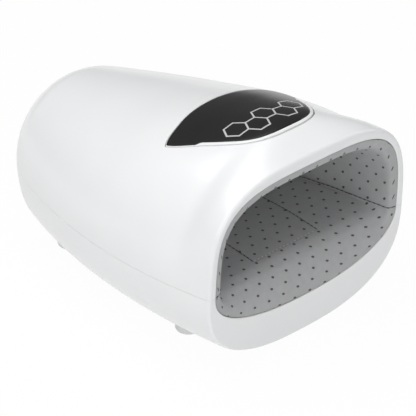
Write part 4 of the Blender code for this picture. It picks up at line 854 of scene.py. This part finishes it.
# Printed dots: rows along the cloth at an even spacing, every second one shifted by half.
printed_dots, given, wanted = effect(
    "printed_dots",
    [(label, "Float") for label in ("Across", "Along", "Shift", "Start", "Radius")] + [("Cloth", "Vector")],
    [("Mask", "Float")],
)
split = parts_of(printed_dots, given["Cloth"])
row = maths(printed_dots, "ADD", counted(printed_dots, split[1], given["Start"], given["Along"]), 0.5)
odd = maths(printed_dots, "FLOORED_MODULO", maths(printed_dots, "FLOOR", row), 2.0)
dot = counted(printed_dots, split[0], given["Shift"], given["Across"])
dot = maths(printed_dots, "ADD", dot, maths(printed_dots, "MULTIPLY", odd, 0.5))
off_dot = off_middle(printed_dots, dot, given["Across"])
off_row = off_middle(printed_dots, row, given["Along"])
distance = maths(printed_dots, "SQRT", maths(printed_dots, "ADD", off_dot, off_row))
core = maths(printed_dots, "MULTIPLY", given["Radius"], dot_core)
printed_dots.links.new(edge_mask(printed_dots, distance, given["Radius"], core), wanted["Mask"])

grey_cloth, tree, shader = finish(
    "grey_cloth", {"Roughness": 0.9, "Specular IOR Level": 0.25, "Sheen Weight": 0.2, "Sheen Roughness": 0.5}
)
cloth_place = node(tree, "ShaderNodeUVMap", {}, uv_map="threads").outputs[0]
place = object_place(tree)
spot = parts_of(tree, place)
inputs = {"Cloth": cloth_place, "Thread": thread_pitch}
weave = node(tree, "ShaderNodeGroup", inputs, node_tree=woven_cloth).outputs["Height"]
masks = []
for values in (upper_print, lower_print):
    inputs = {"Cloth": cloth_place, **values}
    masks.append(node(tree, "ShaderNodeGroup", inputs, node_tree=printed_dots).outputs["Mask"])
low_down = maths(tree, "LESS_THAN", spot[2], sleeve_seam)
dot_mask = between(tree, low_down, masks[0], masks[1])
side_line = maths(tree, "ABSOLUTE", maths(tree, "SUBTRACT", spot[2], sleeve_seam))
patch_across = maths(tree, "SUBTRACT", maths(tree, "ABSOLUTE", spot[0]), patch_half_width)
patch_along = maths(tree, "ABSOLUTE", maths(tree, "SUBTRACT", spot[1], (patch_front + patch_back) / 2.0))
patch_along = maths(tree, "SUBTRACT", patch_along, (patch_back - patch_front) / 2.0)
patch_end = maths(tree, "MULTIPLY", maths(tree, "GREATER_THAN", patch_along, patch_across), low_down)
patch_line = maths(tree, "ABSOLUTE", maths(tree, "MAXIMUM", patch_across, patch_along))
patch_line = maths(tree, "ADD", patch_line, maths(tree, "SUBTRACT", 1.0, low_down))
sewn = edge_mask(tree, maths(tree, "MINIMUM", side_line, patch_line), sewn_edge, sewn_core)
mottle = noise(tree, place, scale=240.0, detail=4.0)
# Painted shade: the seam lines and the patch's edges are darkened towards near black, less on the patch's
# front edge. The seam relief below is real.
shade = maths(tree, "MULTIPLY", sewn, between(tree, patch_end, seam_shade, patch_end_shade))
ground = blend_of(tree, shade, blend_of(tree, mottle, cloth_low, cloth_high), painted_seam_shade)
paint(tree, shader, maths(tree, "MULTIPLY", dot_mask, dot_ink), ground, dot_dark)
relief = maths(tree, "MULTIPLY", weave, weave_relief)
for mask, share in ((sewn, sewn_relief), (dot_mask, dot_relief)):
    relief = maths(tree, "ADD", relief, maths(tree, "MULTIPLY", mask, share))
emboss(tree, shader, relief, depth=0.0005)
wear(lining, grey_cloth)
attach(lining, "housing")
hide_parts("lining_sleeve")
dress(inner_plastic, "inner_plastic", "clamp_ring")

# Stitching.
# Sewing thread along both side seams and round the floor patch: short stitches that lie on
# the cloth and dip into it at their ends. One thread in two painted tones: a dark copy in painted
# shade on the seams and the patch's sides, and a pale copy in painted light on the patch's front.
thread_radius, thread_sides = 0.00026, 8
seam_pitch, seam_stitch = 0.0034, 0.0022
patch_pitch, patch_stitch = 0.0030, 0.0019
sewn_until = 0.0200
patch_side_points, patch_front_points = 60, 40
under_roof = 0.062
# Thread tones: a shaded copy and a lit copy of the same thread, as painted shade and painted light.
shaded_thread_low, shaded_thread_high = (0.035, 0.035, 0.038, 1.0), (0.075, 0.075, 0.08, 1.0)
lit_thread_low, lit_thread_high = (0.50, 0.50, 0.50, 1.0), (0.66, 0.66, 0.66, 1.0)

# Rings of one stitch: their places from end to end, and their rise and radius in thread radii.
bar_places = np.array([-1.0, -0.75, 0.0, 0.75, 1.0])
bar_lifts = np.array([-0.9, 0.25, 0.55, 0.25, -0.9])
bar_widths = np.array([0.35, 0.9, 1.0, 0.9, 0.35])


def stitch_row(name, path, upward, pitch, length, material):
    """Even stitches along a path of points, each a rounded bar that follows the path."""
    run = np.concatenate([[0.0], np.cumsum(np.linalg.norm(np.diff(path, axis=0), axis=1))])
    middles = np.arange(pitch / 2.0, run[-1] - length / 2.0, pitch)
    places = middles[:, None] + bar_places * length / 2.0
    spine = np.stack([np.interp(places, run, path[:, axis]) for axis in range(3)], axis=-1)
    up = np.stack([np.interp(places, run, upward[:, axis]) for axis in range(3)], axis=-1)
    heading = spine[:, -1:] - spine[:, :1]
    heading = heading / np.linalg.norm(heading, axis=2, keepdims=True)
    side = np.cross(heading + 0.0 * up, up)
    turns = np.linspace(0.0, 2.0 * math.pi, thread_sides, endpoint=False)[None, None, :, None]
    spine = spine + up * (bar_lifts * thread_radius)[:, None]
    reach = (bar_widths * thread_radius)[None, :, None, None]
    rings = spine[:, :, None] + reach * (np.cos(turns) * side[:, :, None] + np.sin(turns) * up[:, :, None])
    bar_points = len(bar_places) * thread_sides
    bars = grid_faces(len(bar_places), thread_sides, True)
    bars += [list(range(thread_sides)), list(range(bar_points - thread_sides, bar_points))]
    firsts = range(0, bar_points * len(middles), bar_points)
    faces = [[corner + first for corner in face] for first in firsts for face in bars]
    item = piece(name, rings, faces, sharp=180.0)
    wear(item, material)
    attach(item, "housing")


def thread(name, low, high):
    """Twisted cotton thread: slanting strands and fibres of two tones."""
    made, tree, shader = finish(name, {"Roughness": 0.95, "Specular IOR Level": 0.2, "Sheen Weight": 0.3})
    place = object_place(tree)
    inputs = {"Vector": place, "Scale": 900.0}
    twist = node(tree, "ShaderNodeTexWave", inputs, bands_direction="DIAGONAL").outputs["Fac"]
    paint(tree, shader, noise(tree, place, scale=3000.0), low, high)
    emboss(tree, shader, twist, depth=0.00005)
    return made


# The same thread twice: dark in painted shade for the seams and the patch's sides, pale in painted light for
# the patch's front edge.
shaded_thread = thread("shaded_thread", shaded_thread_low, shaded_thread_high)
lit_thread = thread("lit_thread", lit_thread_low, lit_thread_high)
for label, number in (("right", 0), ("left", sleeve_around // 2)):
    path = inner_skin[inner_skin[:, number, 1] < sewn_until, number]
    across = inner_skin[: len(path), number - 1] - inner_skin[: len(path), number + 1]
    upward = np.cross(np.gradient(path, axis=0), across)
    upward = upward / np.linalg.norm(upward, axis=1, keepdims=True)
    upward = upward * -np.sign(upward[-1, 0] * path[-1, 0])
    stitch_row("seam_stitches_" + label, path, upward, seam_pitch, seam_stitch, shaded_thread)
cloth_tree = BVHTree.FromPolygons(
    [vertex.co for vertex in lining.data.vertices], [list(face.vertices) for face in lining.data.polygons]
)


def on_floor(x, y):
    """Points of the lining's floor under plan points inside the hand space."""
    down = Vector((0.0, 0.0, -1.0))
    return np.array([cloth_tree.ray_cast(Vector((*spot, under_roof)), down)[0][:] for spot in zip(x, y)])


side_y = np.linspace(patch_front, sewn_until, patch_side_points)
front_x = np.linspace(-patch_half_width, patch_half_width, patch_front_points)
for label, x, y, material in (
    ("left", np.full_like(side_y, -patch_half_width), side_y, shaded_thread),
    ("right", np.full_like(side_y, patch_half_width), side_y, shaded_thread),
    ("front", front_x, np.full_like(front_x, patch_front), lit_thread),
):
    path = on_floor(x, y)
    upward = np.tile((0.0, 0.0, 1.0), (len(path), 1))
    stitch_row("patch_stitches_" + label, path, upward, patch_pitch, patch_stitch, material)

# Top cover.
# The domed upper half of the housing, moulded in the same glossy white ABS, with the
# opening for the control panel cut through its crown.
panel_half_width = 0.0476
panel_front = front_plane + 0.0160
panel_back = panel_front + 0.0645
front_rim, back_rim = 0.0027, 0.0008
jog_y, jog_length = front_plane + 0.0520, 0.0030
outline_across = (0.0, 0.38, 0.69, 0.91, 1.0, 0.98, 0.88, 0.77, 0.60, 0.42, 0.20, 0.0)
outline_along = (0.0, 0.016, 0.063, 0.106, 0.157, 0.244, 0.449, 0.654, 0.866, 0.961, 0.995, 1.0)
outline_half_points, smoothing_passes = 120, 12
tilt_passes = 5
opening_reach = 0.0200


def crown_over(x, y, inset=0.0):
    """Height of the top cover over plan points, found by a few passes against its tilt."""
    z = np.full_like(x, body_height)
    for _ in range(tilt_passes):
        share = np.clip((y - front_plane - front_edge_roll) / body_run, 0.0, 1.0)
        base = y - (front_lean * (1.0 - share) + back_lean * share) * (z - parting_height(y))
        share = np.clip((base - front_plane - front_edge_roll) / body_run, 0.0, 1.0)
        middle = parting_height(base)
        power = fair_curve(station_shares, crown_powers, share)
        half_width = bow(front_half_width, bowed_half_width, back_half_width, share) - inset
        side = np.minimum(np.abs(x) / half_width, 1.0)
        z = middle + (crown_height(share) - inset - middle) * (1.0 - side**power) ** (1.0 / power)
    return z


def rim_width(y):
    """Width of the white rim: thin round the back, wide from the jog forwards."""
    return back_rim + (front_rim - back_rim) * np.clip((jog_y - y) / jog_length, 0.0, 1.0)


def panel_rows(inset, height, rim_share=0.0, shrink=None, under=0.0):
    """Panel outlines, one for each value of inset, laid at a height over the crown.

    Each is set in by its inset and by rim_share of the rim's width at every point.
    """
    knots = np.arange(len(outline_across))
    turn = np.linspace(0.0, knots[-1], outline_half_points + 1)
    across = panel_half_width * fair_curve(knots, outline_across, turn)
    along = panel_back + (panel_front - panel_back) * fair_curve(knots, outline_along, turn)
    x = np.concatenate([across, -across[-2:0:-1]])
    y = np.concatenate([along, along[-2:0:-1]])
    for _ in range(smoothing_passes):
        x = (np.roll(x, 1) + 2.0 * x + np.roll(x, -1)) / 4.0
        y = (np.roll(y, 1) + 2.0 * y + np.roll(y, -1)) / 4.0
    step_x = np.roll(x, -1) - np.roll(x, 1)
    step_y = np.roll(y, -1) - np.roll(y, 1)
    length = np.hypot(step_x, step_y)
    inset = column(inset) + column(rim_share * np.ones(len(inset))) * rim_width(y)
    x = x + inset * step_y / length
    y = y - inset * step_x / length
    if shrink is not None:
        middle = (panel_back + panel_front) / 2.0
        x = x * column(shrink)
        y = middle + (y - middle) * column(shrink)
    return np.stack([x, y, crown_over(x, y, under) + column(height)], axis=-1)


around = 2 * outline_half_points
top_cover = cover("top_cover_shell", 0.0, parting_gap / 2.0)
opening_grid = panel_rows([0.0, 0.0], [-opening_reach, opening_reach])
cut(top_cover, [piece("panel_opening", opening_grid, prism_faces(around))])
wear(top_cover, white_gloss)
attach(top_cover, "housing")
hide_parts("top_cover")

# Panel frame.
# A narrow white ring moulded apart from the cover, held from below by its flange; a hair
# gap runs round it.
rim_proud = 0.0004
lens_thickness = 0.0018
flange_width, flange_gap, ledge = 0.0025, 0.0008, 0.0010
edge_radius = 0.0003
gap_share = 0.2
drawn = 1.0 - np.sin(quarter_turn(6))
rounded = 1.0 - np.cos(quarter_turn(6))
flange_low = -flange_gap - lens_thickness

# Rows of the ring from its outer edge over the top and round the flange: how far each is
# set in, the share of the rim's width added to that, its height over the crown, and how
# deep under the skin that crown lies.
rim_sections = [
    (seam_gap * (1.0 + rounded), gap_share, rim_proud - edge_radius * drawn, 0.0),
    (-edge_radius * drawn, 1.0, rim_proud - edge_radius * rounded, 0.0),
    (np.array([0.0, ledge]), 1.0, np.full(2, -lens_thickness - seam_gap), 0.0),
    (np.array([ledge]), 1.0, np.array([flange_low]), wall),
    (np.full(2, -flange_width), 0.0, np.array([flange_low, -flange_gap]), wall),
    (np.array([seam_gap]), 0.0, np.array([-flange_gap]), wall),
]
frame_grid = np.concatenate(
    [panel_rows(inset, height, share, under=under) for inset, share, height, under in rim_sections]
)
frame_grid = np.concatenate([frame_grid, frame_grid[:1]])
rim = piece("panel_rim", frame_grid, grid_faces(len(frame_grid), around, True))
wear(rim, white_gloss)
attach(rim, "housing")
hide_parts("panel_frame")

# Control panel.
# A smoked black acrylic lens, domed with the cover. Five hexagon key outlines, joined as
# a honeycomb, are printed in silver behind its glossy face.
key_radius, key_line, line_core = 0.0074, 0.00058, 0.8
key_middle_x, key_middle_y = 0.0006, -0.0689
lens_rings, under_rings = 25, 5
lens_first_shrink = 0.96
smoke_low, smoke_high = (0.014, 0.014, 0.014, 1.0), (0.020, 0.020, 0.020, 1.0)
key_silver = (0.52, 0.52, 0.52, 1.0)
turn = quarter_turn(5)
shrinks = np.linspace(lens_first_shrink, 0.0, lens_rings)
lens_top = panel_rows(np.full(lens_rings, 2.0 * edge_radius), np.full(lens_rings, rim_proud), 1.0, shrinks)
edge_insets = seam_gap + edge_radius * (1.0 - np.cos(turn))
lens_edge = panel_rows(edge_insets, rim_proud - edge_radius * (1.0 - np.sin(turn)), 1.0)
shrinks = np.linspace(0.0, 1.0, under_rings)
lens_under = panel_rows(np.full(under_rings, seam_gap), np.full(under_rings, -lens_thickness), 1.0, shrinks)
lens_grid = np.concatenate([lens_under, lens_edge, lens_top])
lens = piece("panel_lens", lens_grid, grid_faces(len(lens_grid), around, True))

# Key outline: a line along the edge of a hexagon; Size is from its middle to a flat side.
key_outline, given, wanted = effect(
    "key_outline",
    [("Place", "Vector"), ("Middle", "Vector"), ("Size", "Float"), ("Line", "Float")],
    [("Mask", "Float")],
)
inputs = {0: given["Place"], 1: given["Middle"]}
offset = node(key_outline, "ShaderNodeVectorMath", inputs, operation="SUBTRACT").outputs[0]
split = parts_of(key_outline, offset)
along_x = maths(key_outline, "ABSOLUTE", split[0])
along_y = maths(key_outline, "ABSOLUTE", split[1])
leaning = maths(key_outline, "MULTIPLY", along_x, math.cos(math.pi / 6))
slanted = maths(key_outline, "ADD", leaning, maths(key_outline, "MULTIPLY", along_y, 0.5))
far = maths(key_outline, "MAXIMUM", along_y, slanted)
off_line = maths(key_outline, "ABSOLUTE", maths(key_outline, "SUBTRACT", far, given["Size"]))
core = maths(key_outline, "MULTIPLY", given["Line"], line_core)
key_outline.links.new(edge_mask(key_outline, off_line, given["Line"], core, "LINEAR"), wanted["Mask"])

smoked_lens, tree, shader = finish("smoked_lens", {"Specular IOR Level": 0.28})
place = object_place(tree)
printed = None
apothem = key_radius * math.cos(math.pi / 6)
for number in range(-2, 3):
    side = 0.5 if number % 2 == 0 else -0.5
    key_middle = (key_middle_x + number * key_radius * 1.5, key_middle_y + side * apothem, 0.0)
    inputs = {"Place": place, "Middle": key_middle, "Size": apothem, "Line": key_line}
    mask = node(tree, "ShaderNodeGroup", inputs, node_tree=key_outline).outputs["Mask"]
    printed = mask if printed is None else maths(tree, "MAXIMUM", printed, mask)
haze = noise(tree, place, scale=35.0)
paint(tree, shader, printed, blend_of(tree, haze, smoke_low, smoke_high), key_silver)
roughen(tree, shader, printed, roughness=(0.24, 0.4))
emboss(tree, shader, haze, depth=0.00004)
wear(lens, smoked_lens)
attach(lens, "housing")
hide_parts("control_panel")

# Studio.
# A pale floor and soft lamps at a plain level; the camera stands at the photograph's angle.
floor_reach = 4.0
floor_white = (0.86, 0.86, 0.86, 1.0)
seen_share, bounce_share = 0.96, 0.38
world_strength = 0.20
lit_point = (0.0, 0.0, 0.06)
camera_target = Vector((0.0, -0.0003, 0.047))
camera_side = Vector((-0.6018, -0.6242, 0.4983)).normalized()
camera_distance = 1.8783
floor_mesh = bpy.data.meshes.new("studio_floor")
floor_corners = [(x * floor_reach, y * floor_reach, 0.0) for x, y in ((-1, -1), (1, -1), (1, 1), (-1, 1))]
floor_mesh.from_pydata(floor_corners, [], [(0, 1, 2, 3)])
floor = bpy.data.objects.new("studio_floor", floor_mesh)
bpy.context.scene.collection.objects.link(floor)
paper, tree, shader = finish("floor_paper", {"Base Color": floor_white, "Roughness": 0.9})
rays = node(tree, "ShaderNodeLightPath").outputs
mirrored = maths(tree, "MAXIMUM", rays["Is Glossy Ray"], rays["Is Transmission Ray"])
seen = maths(tree, "MAXIMUM", rays["Is Camera Ray"], mirrored)
glow = node(tree, "ShaderNodeEmission", {"Color": (1.0, 1.0, 1.0, 1.0), "Strength": 1.0})
bounce = maths(tree, "MULTIPLY", rays["Is Diffuse Ray"], bounce_share)
share = maths(tree, "MAXIMUM", maths(tree, "MULTIPLY", seen, seen_share), bounce)
mixed = node(tree, "ShaderNodeMixShader", {0: share})
tree.links.new(tree.nodes["Principled BSDF"].outputs[0], mixed.inputs[1])
tree.links.new(glow.outputs[0], mixed.inputs[2])
tree.links.new(mixed.outputs[0], tree.nodes["Material Output"].inputs[0])
floor_mesh.materials.append(paper)

world = bpy.data.worlds.new("studio_world")
bpy.context.scene.world = world
world.use_nodes = True
sky = world.node_tree.nodes["Background"].inputs
sky["Color"].default_value = (1.0, 1.0, 1.0, 1.0)
sky["Strength"].default_value = world_strength

# Square lamps turned towards the object: name, place, side and power.
for name, place, size, power in (
    ("lamp_over", (-0.2, 0.12, 1.3), 1.4, 15.0),
    ("lamp_left", (-1.2, -0.2, 0.8), 0.9, 4.8),
    ("lamp_front", (-0.5, -1.2, 0.42), 0.9, 4.7),
    ("lamp_right", (1.2, -0.3, 0.6), 0.8, 1.0),
):
    lamp = bpy.data.lights.new(name, "AREA")
    lamp.shape = "SQUARE"
    lamp.size = size
    lamp.energy = power
    item = bpy.data.objects.new(name, lamp)
    item.location = place
    item.rotation_euler = (Vector(lit_point) - Vector(place)).to_track_quat("-Z", "Y").to_euler()
    bpy.context.scene.collection.objects.link(item)

camera_data = bpy.data.cameras.new("camera")
camera_data.sensor_width = 36.0
camera_data.lens = 269.87
camera_data.shift_x = 0.0581
camera_data.shift_y = -0.0132
camera = bpy.data.objects.new("camera", camera_data)
camera.location = camera_target + camera_side * camera_distance
camera.rotation_euler = (-camera_side).to_track_quat("-Z", "Y").to_euler()
bpy.context.scene.collection.objects.link(camera)
bpy.context.scene.camera = camera
bpy.context.scene.view_settings.view_transform = "Standard"
